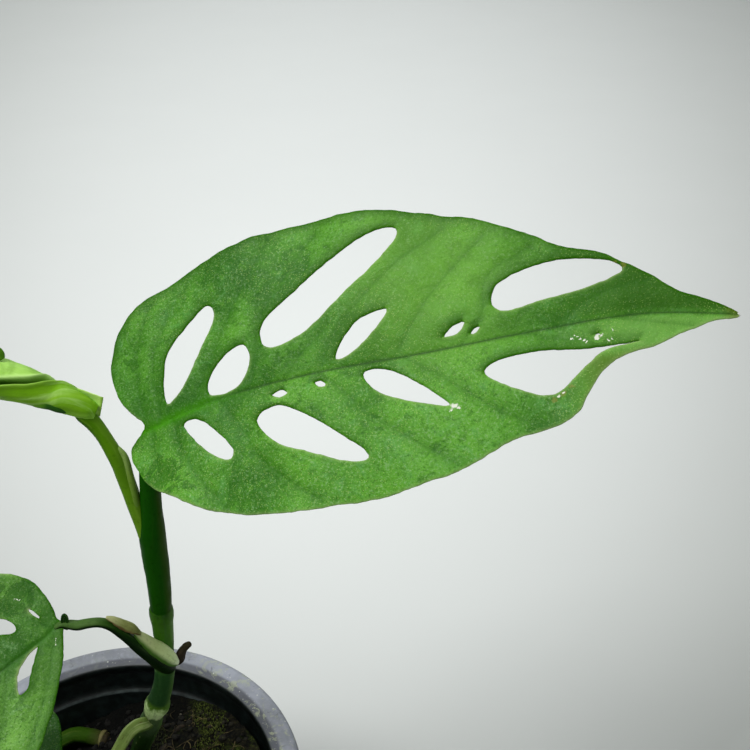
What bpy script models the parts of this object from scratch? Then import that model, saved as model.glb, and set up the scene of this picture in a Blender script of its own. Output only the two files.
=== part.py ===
"""Young monstera vine in a round nursery pot. Metres, +Z up, origin under the pot's centre.

Every named size below can be changed by itself. Shapes that are read off the plant, such as leaf
margins and stem paths, are lists of points in millimetres.
"""
import math

import bmesh
import bpy
from mathutils import Matrix, Vector
from mathutils.geometry import delaunay_2d_cdt

MM = 0.001
GAP = 0.0003             # clearance between two pieces that touch

# Pot
POT_HEIGHT = 0.098
RIM_RADIUS = 0.0615      # outside of the rolled rim
MOUTH_RADIUS = 0.0524    # inside edge of the rim
BASE_RADIUS = 0.044
WALL = 0.0018
FLOOR = 0.0022
FLANGE = 0.0026          # thickness of the rim's flat top
LIP_WALL = 0.0018        # rim's turned-down edge
LIP_DROP = 0.010
STEP_DEPTH = 0.012       # inner step, below the top
STEP_IN = 0.0022
DRAIN_COUNT = 8
DRAIN_RADIUS = 0.004
DRAIN_CIRCLE = 0.029
ROUND_STEPS = 64

# Soil
SOIL_DROP = 0.0135       # from the rim down to the surface, on the pot's axis
SOIL_TILT = 0.14         # rise toward +X
HOLLOW_DEPTH = 0.0085    # dip at the back left
MOUND_HEIGHT = 0.003     # heap at the right

# Blades
BLADE = 0.0006           # thickness of a leaf
RIB = 0.0011             # midrib under the leaf
MESH_STEP = 0.0052       # spacing of the points inside a blade
FOLD = 0.12              # rise from the midrib to the margin
DROOP = 3.0              # fall of the margin, per metre

SOIL_LEVEL = POT_HEIGHT - SOIL_DROP
PLANTED_LEVEL = 0.0845   # soil level and mouth that the points further down are given for
PLANTED_MOUTH = 0.0524
RISE = Vector((0, 0, SOIL_LEVEL - PLANTED_LEVEL))
SPREAD = MOUTH_RADIUS / PLANTED_MOUTH


def clear_scene():
    for item in list(bpy.data.objects):
        bpy.data.objects.remove(item, do_unlink=True)


def material(name, colour, roughness):
    made = bpy.data.materials.new(name)
    made.use_nodes = True
    shader = made.node_tree.nodes["Principled BSDF"]
    shader.inputs["Base Color"].default_value = (*colour, 1.0)
    shader.inputs["Roughness"].default_value = roughness
    shader.inputs["Metallic"].default_value = 0.0
    return made


def add_object(name, verts, faces, slot=None, parent=None, frame=None):
    """One closed mesh object with its normals pointing out."""
    mesh = bpy.data.meshes.new(name)
    mesh.from_pydata([tuple(v) for v in verts], [], faces)
    work = bmesh.new()
    work.from_mesh(mesh)
    bmesh.ops.recalc_face_normals(work, faces=work.faces)
    work.to_mesh(mesh)
    work.free()
    made = bpy.data.objects.new(name, mesh)
    bpy.context.collection.objects.link(made)
    if frame is not None:
        made.location = frame.to_translation()
        made.rotation_euler = frame.to_euler()
    if slot:
        made.data.materials.append(slot)
    made.parent = parent
    return made


def cut(target, cutter):
    """Take the cutter's volume out of the target."""
    change = target.modifiers.new("cut_" + cutter.name, "BOOLEAN")
    change.operation = "DIFFERENCE"
    change.solver = "EXACT"
    change.object = cutter
    cutter.hide_render = True
    cutter.display_type = "WIRE"


def through(points, steps, closed=False):
    """Points on a smooth curve that passes through the given ones."""
    count = len(points)
    out = []
    for i in range(count if closed else count - 1):
        if closed:
            a, b, c, d = (points[(i + k) % count] for k in (-1, 0, 1, 2))
        else:
            b, c = points[i], points[i + 1]
            a = points[i - 1] if i else [2 * p - q for p, q in zip(b, c)]
            d = points[i + 2] if i + 2 < count else [2 * q - p for p, q in zip(b, c)]
        for k in range(steps):
            t = k / steps
            out.append(tuple(
                0.5 * (2 * q + (r - p) * t + (2 * p - 5 * q + 4 * r - s) * t * t
                       + (3 * q - p - 3 * r + s) * t ** 3)
                for p, q, r, s in zip(a, b, c, d)))
    if not closed:
        out.append(tuple(points[-1]))
    return out


# ---------------------------------------------------------------- pot and soil

def outer_radius(z):
    top = MOUTH_RADIUS + WALL
    return BASE_RADIUS + (top - BASE_RADIUS) * z / POT_HEIGHT


def inner_radius(z):
    """Inside of the pot's wall below the step, kept for the whole height."""
    step = POT_HEIGHT - STEP_DEPTH
    low = outer_radius(FLOOR) - WALL
    high = MOUTH_RADIUS - STEP_IN
    return low + (high - low) * min(z - FLOOR, step - FLOOR) / (step - FLOOR)


def revolve(profile, steps=ROUND_STEPS):
    """Closed body of revolution; the profile starts and ends on the axis."""
    verts = [(0.0, 0.0, profile[0][1])]
    for i in range(steps):
        a = 2 * math.pi * i / steps
        verts += [(r * math.cos(a), r * math.sin(a), z) for r, z in profile[1:-1]]
    verts.append((0.0, 0.0, profile[-1][1]))
    n = len(profile) - 2
    faces = []
    for i in range(steps):
        a, b = 1 + i * n, 1 + ((i + 1) % steps) * n
        faces.append((0, b, a))
        faces += [(a + k, b + k, b + k + 1, a + k + 1) for k in range(n - 1)]
        faces.append((a + n - 1, b + n - 1, len(verts) - 1))
    return verts, faces


def build_pot(slot, parent):
    top, rim, mouth = POT_HEIGHT, RIM_RADIUS, MOUTH_RADIUS
    step = top - STEP_DEPTH
    under = top - FLANGE
    profile = [
        (0, 0), (BASE_RADIUS - 0.001, 0), (outer_radius(0.001), 0.001),
        (outer_radius(under), under), (rim - LIP_WALL, under),
        (rim - LIP_WALL, top - LIP_DROP), (rim - 0.0004, top - LIP_DROP),
        (rim, top - LIP_DROP + 0.0006), (rim, top - 0.0016), (rim - 0.0004, top - 0.0007),
        (rim - 0.0012, top - 0.0001), (rim - 0.0024, top), (mouth + 0.0014, top - 0.0007),
        (mouth + 0.0003, top - 0.0012), (mouth, top - 0.0021), (mouth + 0.0004, top - 0.0043),
        (mouth - 0.0006, step + 0.0006), (mouth - STEP_IN, step),
        (inner_radius(FLOOR), FLOOR), (0, FLOOR)]
    pot = add_object("nursery_pot", *revolve(profile), slot, parent)
    for i in range(DRAIN_COUNT):
        verts, faces = revolve([(0, -0.002), (DRAIN_RADIUS, -0.002),
                                (DRAIN_RADIUS, FLOOR + 0.002), (0, FLOOR + 0.002)], 14)
        turn = Matrix.Rotation(2 * math.pi * (i + 0.44) / DRAIN_COUNT, 4, "Z")
        spot = turn @ Matrix.Translation((DRAIN_CIRCLE, 0, 0))
        cut(pot, add_object(f"drain_cutter_{i + 1}", verts, faces, None, parent, spot))
    return pot


def soil_height(x, y):
    hollow = math.exp(-((x / SPREAD + 0.020) / 0.018) ** 2 - ((y / SPREAD - 0.036) / 0.020) ** 2)
    mound = math.exp(-((x - 0.042) / 0.016) ** 2 - ((y - 0.012) / 0.020) ** 2)
    lumps = 0.0006 * math.sin(310 * x + 1.0) * math.sin(270 * y) + 0.0004 * math.sin(610 * (x - y))
    return SOIL_LEVEL + SOIL_TILT * x - HOLLOW_DEPTH * hollow + MOUND_HEIGHT * mound + lumps


def build_soil(slot, parent):
    """Fills the pot up to an uneven surface."""
    around, rings = 56, 13
    low = FLOOR + GAP
    verts, faces = [(0, 0, low)], []
    for k in range(1, 5):
        radius = (inner_radius(low) - GAP) * k / 4
        verts += [(radius * math.cos(a), radius * math.sin(a), low) for a in angles(around)]
    for k in range(1, 6):
        for a in angles(around):
            radius = inner_radius(SOIL_LEVEL) - GAP
            z = low + (soil_height(radius * math.cos(a), radius * math.sin(a)) - low) * k / 5
            radius = inner_radius(z) - GAP
            verts.append((radius * math.cos(a), radius * math.sin(a), z))
    for k in range(rings - 1, 0, -1):
        radius = (inner_radius(SOIL_LEVEL) - GAP) * k / rings
        for a in angles(around):
            x, y = radius * math.cos(a), radius * math.sin(a)
            verts.append((x, y, soil_height(x, y)))
    verts.append((0, 0, soil_height(0, 0)))
    rows = (len(verts) - 2) // around
    for i in range(around):
        j = (i + 1) % around
        faces.append((0, 1 + j, 1 + i))
        for k in range(rows - 1):
            a, b = 1 + k * around, 1 + (k + 1) * around
            faces.append((a + i, a + j, b + j, b + i))
        last = 1 + (rows - 1) * around
        faces.append((last + i, last + j, len(verts) - 1))
    return add_object("potting_soil", verts, faces, slot, parent)


def angles(count):
    return [2 * math.pi * i / count for i in range(count)]


# ---------------------------------------------------------------- stems

def sweep(knots, sides=12, steps=4, swell=0.0, flat=1.0, wide=(0, 0, 1), channel=0.0):
    """Round or flattened stem through knots of (x, y, z, radius) in millimetres.

    A flattened one keeps its radius along the direction wide; a channel is a groove on that side.
    """
    line = through(knots, steps)
    centres = [Vector(p[:3]) * MM + RISE for p in line]
    radii = [p[3] * MM for p in line]
    last = len(line) - 1
    verts, faces = [], []
    for i, (centre, radius) in enumerate(zip(centres, radii)):
        run = (centres[min(i + 1, last)] - centres[max(i - 1, 0)]).normalized()
        if swell and i in (0, last):
            centre = centre + run * (swell if i else -swell)
        side = Vector(wide).normalized()
        side = (side - run * side.dot(run)).normalized()
        other = run.cross(side)
        for a in angles(sides):
            groove = 1 - channel * max(0.0, math.cos(a)) ** 3
            offset = (side * math.cos(a) * (radius * groove + swell)
                      + other * math.sin(a) * (radius * flat + swell))
            verts.append(centre + offset)
    for i in range(last):
        for k in range(sides):
            a, b = i * sides, (i + 1) * sides
            m = (k + 1) % sides
            faces.append((a + k, a + m, b + m, b + k))
    for start, centre in ((0, centres[0]), (last * sides, centres[-1])):
        verts.append(sum((verts[start + k] for k in range(sides)), Vector()) / sides)
        hub = len(verts) - 1
        faces += [(start + k, start + (k + 1) % sides, hub) for k in range(sides)]
    return verts, faces


STEMS = {
    "vine_stem": dict(knots=[
        (1.0, 19.0, 70, 3.2), (4.0, 17.5, 86, 3.3), (8.2, 15.6, 101, 3.1), (12.4, 13.4, 112.5, 3.4),
        (13.8, 12.6, 116.8, 4.2), (15.0, 12.0, 120.2, 3.7), (16.2, 11.6, 123.6, 2.9),
        (18.4, 10.8, 131, 2.6), (20.6, 9.6, 139.5, 2.6), (22.2, 8.4, 147.5, 3.0),
        (22.9, 7.8, 152.5, 2.7), (23.6, 7.0, 160, 2.8), (24.0, 6.5, 166.6, 3.1),
        (24.2, 6.2, 170.0, 3.4), (24.3, 6.0, 172.2, 3.3)], sides=16),
    "large_leaf_petiole": dict(knots=[
        (24.25, 6.1, 170, 2.9), (24.5, 5.9, 174, 3.0), (25.2, 5.0, 185.5, 3.3), (25.5, 4.2, 197, 3.5),
        (26.0, 3.6, 203, 3.4), (26.7, 3.0, 210, 2.8), (27.7, 2.4, 221, 2.6), (28.4, 2.0, 229, 2.4),
        (29.4, 1.4, 235.5, 1.9)], sides=14),
    "new_leaf_petiole": dict(knots=[
        (25.6, 4.2, 193, 1.6), (24.2, 4.0, 199, 2.1), (23.7, 3.6, 205, 2.0), (22.5, 3.3, 213, 2.1),
        (21.5, 2.9, 220, 2.1), (20.2, 2.4, 227, 2.0), (18.2, 2.1, 233.5, 1.8),
        (16.4, 2.1, 237.4, 1.6), (15.0, 2.2, 240.6, 1.4)]),
    "left_leaf_petiole": dict(knots=[
        (22.6, 7.0, 148.5, 2.0), (22.0, 3.8, 152.5, 2.2), (20.6, 0.8, 159.5, 2.0),
        (18.4, -1.2, 165.6, 1.9), (15.9, -2.2, 170.9, 1.7), (13.1, -3.0, 174.9, 1.5),
        (10.2, -3.5, 176.4, 1.4), (7.1, -4.0, 176.6, 1.4), (4.4, -4.4, 176.4, 1.4),
        (1.6, -4.4, 176.6, 1.3), (-1.4, -5.2, 175.6, 1.0)], channel=0.25),
    "left_petiole_sheath": dict(knots=[
        (17.4, -4.2, 171.6, 1.2), (19.4, -3.0, 169.2, 2.1), (21.4, -1.4, 165.4, 2.6),
        (23.4, 0.6, 160.4, 2.9), (25.0, 2.6, 156.0, 2.9), (26.2, 4.6, 152.4, 1.9)],
        flat=0.42, wide=(0.6, -0.2, 0.8)),
    "dried_sheath_flap": dict(knots=[
        (12.0, -3.6, 178.4, 0.9), (13.8, -4.2, 177.8, 1.4), (16.0, -4.8, 175.4, 1.6),
        (18.2, -5.0, 172.9, 1.3)], flat=0.4, wide=(0.5, 0.1, 0.85), sides=10),
    "low_leaf_petiole": dict(knots=[
        (14.2, 11.0, 118.2, 1.9), (13.0, 7.6, 121.4, 2.1), (11.4, 5.4, 123.0, 2.1),
        (9.4, 3.6, 122.4, 2.0), (7.6, 1.8, 120.3, 1.9), (5.6, -0.2, 117.4, 1.8),
        (3.2, -2.2, 114.2, 1.7), (-0.4, -3.6, 111.6, 1.6), (-4.6, -4.4, 110.6, 1.4),
        (-8.0, -5.0, 110.8, 1.1)], channel=0.3),
    "aerial_root_nub": dict(knots=[
        (23.8, 8.0, 148.0, 1.2), (26.4, 7.9, 149.4, 1.5), (27.6, 7.4, 152.2, 1.5),
        (28.6, 6.8, 154.8, 1.2), (30.2, 6.3, 157.2, 0.9), (31.0, 6.0, 158.2, 0.6)], sides=10),
    "old_stem_stub": dict(knots=[
        (-30.0, 32.6, 77.0, 2.6), (-26.6, 35.4, 77.6, 2.9), (-22.5, 37.6, 77.8, 3.0),
        (-17.5, 38.0, 76.8, 2.9), (-13.6, 37.6, 75.6, 3.2), (-10.6, 37.0, 75.4, 2.8)]),
    "old_stub_root": dict(knots=[
        (-11.4, 37.0, 75.6, 1.7), (-8.4, 36.6, 76.0, 1.5), (-6.0, 36.4, 77.6, 1.1),
        (-3.6, 36.0, 79.6, 0.6)], sides=10),
}
# The old stub lies along the wall, so it moves in and out with the mouth.
for beside_wall in ("old_stem_stub", "old_stub_root"):
    STEMS[beside_wall]["knots"] = [
        (x * SPREAD, y * SPREAD, z, r) for x, y, z, r in STEMS[beside_wall]["knots"]]
# Each stem is shaped to fit around the ones after it.
FITTED = [
    ("large_leaf_petiole", ["vine_stem"]), ("new_leaf_petiole", ["large_leaf_petiole"]),
    ("left_leaf_petiole", ["vine_stem"]), ("low_leaf_petiole", ["vine_stem"]),
    ("left_petiole_sheath", ["vine_stem", "left_leaf_petiole"]),
    ("dried_sheath_flap", ["left_leaf_petiole", "left_petiole_sheath"]),
    ("aerial_root_nub", ["vine_stem", "left_petiole_sheath"]),
    ("old_stub_root", ["old_stem_stub"]),
    ("potting_soil", ["vine_stem", "old_stem_stub", "old_stub_root"]),
]


# ---------------------------------------------------------------- leaves

LARGE_LEAF = dict(
    base=(29.0, 0, 236.5), tip=(162.5, -7, 272.0), facing=(0, -0.643, 0.766), arch=9.0,
    midrib=[(-12, -0.6), (0, 0), (20, 3.0), (45, 3.4), (70, 2.6), (95, 3.0), (118, 3.2), (140, 0)],
    outline=[
        (0, 1.6), (-3.5, 5.5), (-7, 11), (-8.5, 18), (-5.5, 26), (1, 31.5), (11, 35), (20, 38),
        (34, 40), (46, 40.5), (58, 39.5), (70, 37.2), (83, 32.7), (94, 27), (105, 20.5),
        (112, 18.4), (116, 15.4), (122, 11.3), (126.5, 7), (132, 4.4), (138.3, 0), (131, -0.6),
        (125, -2.4), (119, -4.6), (113, -5.4), (107.5, -8.2), (104, -12.5), (101, -16.5),
        (96, -18.6), (86, -20.4), (75, -24.4), (61, -27), (45, -27.4), (30, -26), (18, -23.2),
        (8, -18), (1, -13.6), (-2.6, -9), (-4, -4.4), (-2.4, -1.8)],
    windows=[
        [(7, 5), (6.5, 10), (8.5, 17.5), (14, 22.5), (20, 26.3), (22, 23), (17.5, 16), (11.5, 7.5)],
        [(18.5, 4.6), (19, 8.5), (23, 12.4), (28.5, 14.2), (30.2, 10.5), (27.5, 5.6), (23, 3.8)],
        [(33.5, 13), (34.5, 18.3), (43, 23.8), (51.5, 28.9), (63.5, 33.4), (69, 32.6), (65, 27.2),
         (54, 19.8), (44, 13.5), (37, 11.4)],
        [(50.6, 5.4), (52.4, 9.2), (57, 13.1), (64, 14.2), (61, 10.2), (55, 6.2)],
        [(11, -1.4), (15, -0.6), (20, -4.8), (23.8, -10), (22, -12.2), (16.4, -8.4)],
        [(34.5, 0.6), (36.6, 1.4), (38.5, 0.2), (36.4, -0.6)],
        [(44.9, 1.1), (46.6, 1.4), (47.7, -0.1), (45.9, -0.2)],
        [(30.2, -4.6), (35, -2.1), (41, -4.8), (49, -11.2), (55.6, -17.6), (52, -18.8),
         (43, -15.1), (34.5, -10.8)],
        [(56.8, 1.2), (62, 0.6), (68.3, -3.8), (74.8, -10.4), (68, -8.7), (60.5, -5.2), (57, -1.6)],
        [(75.5, 5.2), (77.6, 7.3), (80.6, 7.8), (78.6, 5.4)],
        [(81.2, 5), (82.4, 6.2), (83.7, 6), (82.4, 4.8)],
        [(87, 10.4), (88.6, 14.6), (95.5, 17.2), (104.5, 18), (113.2, 16.4), (115.9, 13.4),
         (108, 10.9), (98, 9.4), (89.8, 8.4)],
        [(82.9, -5), (86.2, -2.3), (95.5, -1.7), (105, -2.9), (116.6, -3), (109, -4), (104, -7.2),
         (96.8, -12.1), (89.5, -9.8)]])

LEFT_LEAF = dict(
    base=(-0.6, -4.6, 177.0), tip=(-79.0, -47.0, 131.0), facing=(0, -0.70, 0.71), arch=9.0,
    midrib=[(-12, 0), (0, 0), (5, 1.0), (17, 1.4), (45, 2.0), (75, 1.4), (101, 0)],
    outline=[
        (-0.4, -1.6), (-1.0, -4.4), (-1.5, -9), (-1, -13), (0.8, -16.3), (4.3, -20.1),
        (10, -24.4), (18, -27.8), (30, -29), (44, -27), (58, -22), (72, -15.5), (84, -9),
        (94, -3), (100.3, 0), (92, 5.4), (80, 11.8), (66, 19), (50, 25.5), (37, 28.5), (28, 27.6),
        (19.8, 23.8), (13.7, 19), (7.7, 13.5), (3.6, 8), (0.8, 3.4), (-0.8, 0.8)],
    windows=[
        [(8.2, -5.8), (9, -8.6), (12, -11.6), (18, -16.4), (23, -18.4), (24, -15), (18, -10),
         (12.6, -6.4), (9.6, -4.6)],
        [(2.4, -4.2), (2.7, -5.9), (3.4, -7.7), (4, -7.3), (3.6, -5.5), (3, -4)],
        [(30, -5.4), (33, -12), (40, -19), (45, -18.4), (42.5, -11), (36, -5)],
        [(7, 1.9), (9.3, 2), (11.6, 3), (13.7, 4.1), (15.6, 6.5), (16.7, 9.7), (14.1, 9.5),
         (12.1, 7.3), (9.4, 4.5)],
        [(25, 5.4), (27, 12), (34, 19.5), (39, 19), (37, 11), (31, 5.2)],
        [(48, 4.8), (52, 11.6), (58.4, 16), (61, 12.6), (56, 6)]])

LOW_LEAF = dict(
    base=(-7.6, -5.0, 111.4), tip=(-52.0, -15.0, 106.0), facing=(-0.05, -0.5, 0.86), arch=4.0,
    midrib=[(-8, 0), (0, 0), (20, 1), (46, 0)],
    outline=[
        (0, -1.4), (1.2, -4.6), (1.6, -9), (1.3, -13.2), (1.5, -17.4), (3.2, -21.4), (8, -24.2),
        (16, -24), (26, -19.6), (36, -11.6), (45.8, 0), (38, 7.6), (28, 13.4), (17, 17.6),
        (7, 18), (-0.4, 14), (-2.8, 8.6), (-1.8, 3)],
    windows=[])


def leaf_frame(leaf):
    """Origin at the leaf's base, X along the midrib, Z out of its upper face."""
    base, tip = Vector(leaf["base"]), Vector(leaf["tip"])
    along = (tip - base).normalized()
    up = Vector(leaf["facing"])
    up = (up - along * up.dot(along)).normalized()
    turn = Matrix((along, up.cross(along), up)).transposed()
    return Matrix.Translation(base * MM + RISE) @ turn.to_4x4()


def on_curve(points, x):
    """Height of a smooth line through the points at x."""
    line = through(points, 6)
    for (x0, y0), (x1, y1) in zip(line, line[1:]):
        if x <= x1:
            break
    return y0 + (y1 - y0) * (x - x0) / (x1 - x0)


def leaf_surface(leaf, u, v):
    """Height of the blade's middle and distance from the midrib, in metres."""
    length = (Vector(leaf["tip"]) - Vector(leaf["base"])).length
    t = u / length
    side = (v - on_curve(leaf["midrib"], u)) * MM
    arch = leaf["arch"] * 4 * t * (1 - t) * MM
    fold = FOLD * (math.hypot(side, 2 * MM) - 2 * MM)
    return arch + fold - DROOP * side * side, abs(side)


def inside(point, loop):
    x, y = point
    hit = False
    for (x0, y0), (x1, y1) in zip(loop, loop[1:] + loop[:1]):
        if (y0 > y) != (y1 > y) and x < x0 + (x1 - x0) * (y - y0) / (y1 - y0):
            hit = not hit
    return hit


def leaf_mesh(leaf, above=0.0, below=0.0):
    """Closed blade; above and below thicken it, to cut what has to stay clear of it."""
    loops = [through(leaf["outline"], 2, True)]
    loops += [through(window, 2, True) for window in leaf["windows"]]
    points, edges = [], []
    for loop in loops:
        start = len(points)
        points += [Vector(p) for p in loop]
        edges += [(start + k, start + (k + 1) % len(loop)) for k in range(len(loop))]
    rim = len(points)
    step = MESH_STEP / MM
    us = [p[0] for p in leaf["outline"]]
    vs = [p[1] for p in leaf["outline"]]
    for i in range(int((max(us) - min(us)) / step) + 1):
        u = min(us) + step * (i + 0.5)
        rows = [on_curve(leaf["midrib"], u)] if 1 < u < max(us) - 4 else []
        rows += [min(vs) + step * (k + (i % 2) / 2) for k in range(int((max(vs) - min(vs)) / step) + 2)]
        for v in rows:
            close = min(math.dist((u, v), p) for p in points[:rim])
            crowded = any(math.dist((u, v), p) < 0.5 * step for p in points[rim:])
            within = inside((u, v), loops[0]) and not any(inside((u, v), w) for w in loops[1:])
            if within and close > 0.4 * step and not crowded:
                points.append(Vector((u, v)))
    flat, _, tris, *_ = delaunay_2d_cdt(points, edges, [], 0, 1e-4)
    kept = []
    for tri in tris:
        middle = sum((flat[k] for k in tri), Vector((0, 0))) / 3
        if inside(middle, loops[0]) and not any(inside(middle, w) for w in loops[1:]):
            kept.append(tri)
    top, bottom = [], []
    for p in flat:
        height, side = leaf_surface(leaf, p.x, p.y)
        length = (Vector(leaf["tip"]) - Vector(leaf["base"])).length
        rib = RIB * math.exp(-(side / (1.6 * MM)) ** 2) * max(0.0, 1 - max(0.0, p.x) / length)
        top.append(Vector((p.x * MM, p.y * MM, height + BLADE / 2 + above)))
        bottom.append(Vector((p.x * MM, p.y * MM, height - BLADE / 2 - rib - below)))
    n = len(flat)
    faces = [tuple(tri) for tri in kept] + [tuple(n + k for k in reversed(tri)) for tri in kept]
    used = {}
    for tri in kept:
        for a, b in zip(tri, (*tri[1:], tri[0])):
            used[(a, b)] = True
    faces += [(a, n + a, n + b, b) for a, b in used if (b, a) not in used]
    return top + bottom, faces


NEW_LEAF = dict(
    knots=[  # x, y, z, outer radius, turn of the free edge in degrees
        (18.2, 2.1, 240.2, 2.2, 150), (14.6, 2.2, 241.5, 2.9, 140), (11.5, 2.3, 242.9, 3.4, 125),
        (7.0, 2.6, 244.8, 4.2, 100), (1.0, 3.3, 247.0, 5.0, 50), (-4.9, 4.0, 248.4, 5.4, 25),
        (-14.0, 5.0, 250.2, 5.2, 15), (-25.0, 6.0, 252.6, 4.3, 20), (-36.0, 6.8, 255.2, 2.9, 30),
        (-45.0, 7.2, 257.7, 1.5, 40), (-50.0, 7.4, 259.2, 0.9, 45)],
    facing=(0, -0.8, 0.6))


def rolled_mesh():
    """Blade rolled into a loose tube, one free edge showing along its front."""
    across, line = 30, through(NEW_LEAF["knots"], 3)
    centres = [Vector(p[:3]) * MM + RISE for p in line]
    last = len(line) - 1
    verts, faces = [], []
    for i, (centre, knot) in enumerate(zip(centres, line)):
        run = (centres[min(i + 1, last)] - centres[max(i - 1, 0)]).normalized()
        front = Vector(NEW_LEAF["facing"])
        front = (front - run * front.dot(run)).normalized()
        up = run.cross(front)
        radius = knot[3]
        turns = min(1.3, 0.75 + 0.15 * radius)
        shrink = 0.3 * radius + 0.3
        for side in (1, -1):
            for k in range(across):
                angle = 2 * math.pi * turns * k / (across - 1)
                reach = radius - BLADE / MM / 2 - shrink * angle / (2 * math.pi)
                reach = (reach + side * BLADE / MM / 2) * MM
                a = math.radians(knot[4]) - angle
                verts.append(centre + front * math.cos(a) * reach + up * math.sin(a) * reach)
    ring = 2 * across
    around = list(range(across)) + list(range(ring - 1, across - 1, -1))
    for i in range(last):
        for k in range(ring):
            a, b = around[k], around[(k + 1) % ring]
            faces.append((i * ring + a, i * ring + b, (i + 1) * ring + b, (i + 1) * ring + a))
    for start in (0, last * ring):
        faces += [(start + k, start + k + 1, start + across + k + 1, start + across + k)
                  for k in range(across - 1)]
    return verts, faces


# ---------------------------------------------------------------- assembly

COLOURS = {  # node: (linear colour, roughness)
    "nursery_pot": ((0.045, 0.047, 0.052), 0.55),
    "potting_soil": ((0.022, 0.014, 0.008), 0.95),
    "vine_stem": ((0.030, 0.110, 0.020), 0.45),
    "large_leaf_petiole": ((0.025, 0.090, 0.010), 0.42),
    "large_leaf_blade": ((0.090, 0.270, 0.035), 0.40),
    "new_leaf_petiole": ((0.120, 0.290, 0.020), 0.42),
    "new_leaf_blade": ((0.300, 0.600, 0.090), 0.38),
    "left_leaf_petiole": ((0.040, 0.140, 0.020), 0.45),
    "left_petiole_sheath": ((0.400, 0.450, 0.230), 0.60),
    "dried_sheath_flap": ((0.150, 0.150, 0.050), 0.70),
    "left_leaf_blade": ((0.100, 0.290, 0.035), 0.40),
    "low_leaf_petiole": ((0.280, 0.420, 0.120), 0.50),
    "low_leaf_blade": ((0.045, 0.130, 0.040), 0.42),
    "aerial_root_nub": ((0.080, 0.045, 0.030), 0.80),
    "old_stem_stub": ((0.070, 0.110, 0.020), 0.65),
    "old_stub_root": ((0.070, 0.050, 0.025), 0.85),
}
# Each petiole stops under its own blade.
CARRIED = {
    "large_leaf_blade": (LARGE_LEAF, "large_leaf_petiole"),
    "left_leaf_blade": (LEFT_LEAF, "left_leaf_petiole"),
    "low_leaf_blade": (LOW_LEAF, "low_leaf_petiole"),
}


def main():
    clear_scene()
    plant = bpy.data.objects.new("potted_monstera", None)
    bpy.context.collection.objects.link(plant)
    slots = {name: material(name, *look) for name, look in COLOURS.items()}
    built = {
        "nursery_pot": build_pot(slots["nursery_pot"], plant),
        "potting_soil": build_soil(slots["potting_soil"], plant),
    }
    for name, shape in STEMS.items():
        built[name] = add_object(name, *sweep(**shape), slots[name], plant)
    built["new_leaf_blade"] = add_object("new_leaf_blade", *rolled_mesh(),
                                         slots["new_leaf_blade"], plant)
    for name, (leaf, petiole) in CARRIED.items():
        frame = leaf_frame(leaf)
        built[name] = add_object(name, *leaf_mesh(leaf), slots[name], plant, frame)
        slab = leaf_mesh(leaf, above=0.012, below=GAP)
        cut(built[petiole], add_object(name + "_room", *slab, None, plant, frame))
    for name, others in FITTED:
        for other in others:
            room = sweep(swell=GAP, **STEMS[other])
            cut(built[name], add_object(f"{other}_room_{name}", *room, None, plant))
    tube = sweep([(*k[:3], k[3] + GAP / MM) for k in NEW_LEAF["knots"]], sides=24, swell=GAP)
    cut(built["new_leaf_petiole"], add_object("new_leaf_room", *tube, None, plant))


main()
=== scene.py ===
"""Look of the potted monstera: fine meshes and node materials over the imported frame."""
import math
import random

import bmesh
import bpy
import numpy as np
from mathutils import Matrix, Vector, kdtree, noise
from mathutils.geometry import delaunay_2d_cdt


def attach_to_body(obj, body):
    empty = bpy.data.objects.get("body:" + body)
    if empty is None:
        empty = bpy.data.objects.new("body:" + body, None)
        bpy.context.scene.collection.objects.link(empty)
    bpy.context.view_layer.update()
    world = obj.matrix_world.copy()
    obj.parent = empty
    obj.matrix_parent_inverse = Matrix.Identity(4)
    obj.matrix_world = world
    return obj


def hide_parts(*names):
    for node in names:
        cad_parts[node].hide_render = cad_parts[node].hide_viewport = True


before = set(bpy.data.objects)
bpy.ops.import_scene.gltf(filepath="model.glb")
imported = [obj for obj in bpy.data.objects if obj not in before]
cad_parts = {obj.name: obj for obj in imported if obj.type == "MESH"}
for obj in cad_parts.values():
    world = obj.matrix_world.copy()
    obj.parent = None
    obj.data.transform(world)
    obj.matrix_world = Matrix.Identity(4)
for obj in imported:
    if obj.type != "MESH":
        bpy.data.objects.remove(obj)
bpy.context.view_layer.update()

MM = 0.001
DETAIL = 1.0      # coarser leaf meshes while trying


# ================================================================ node helpers

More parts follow.
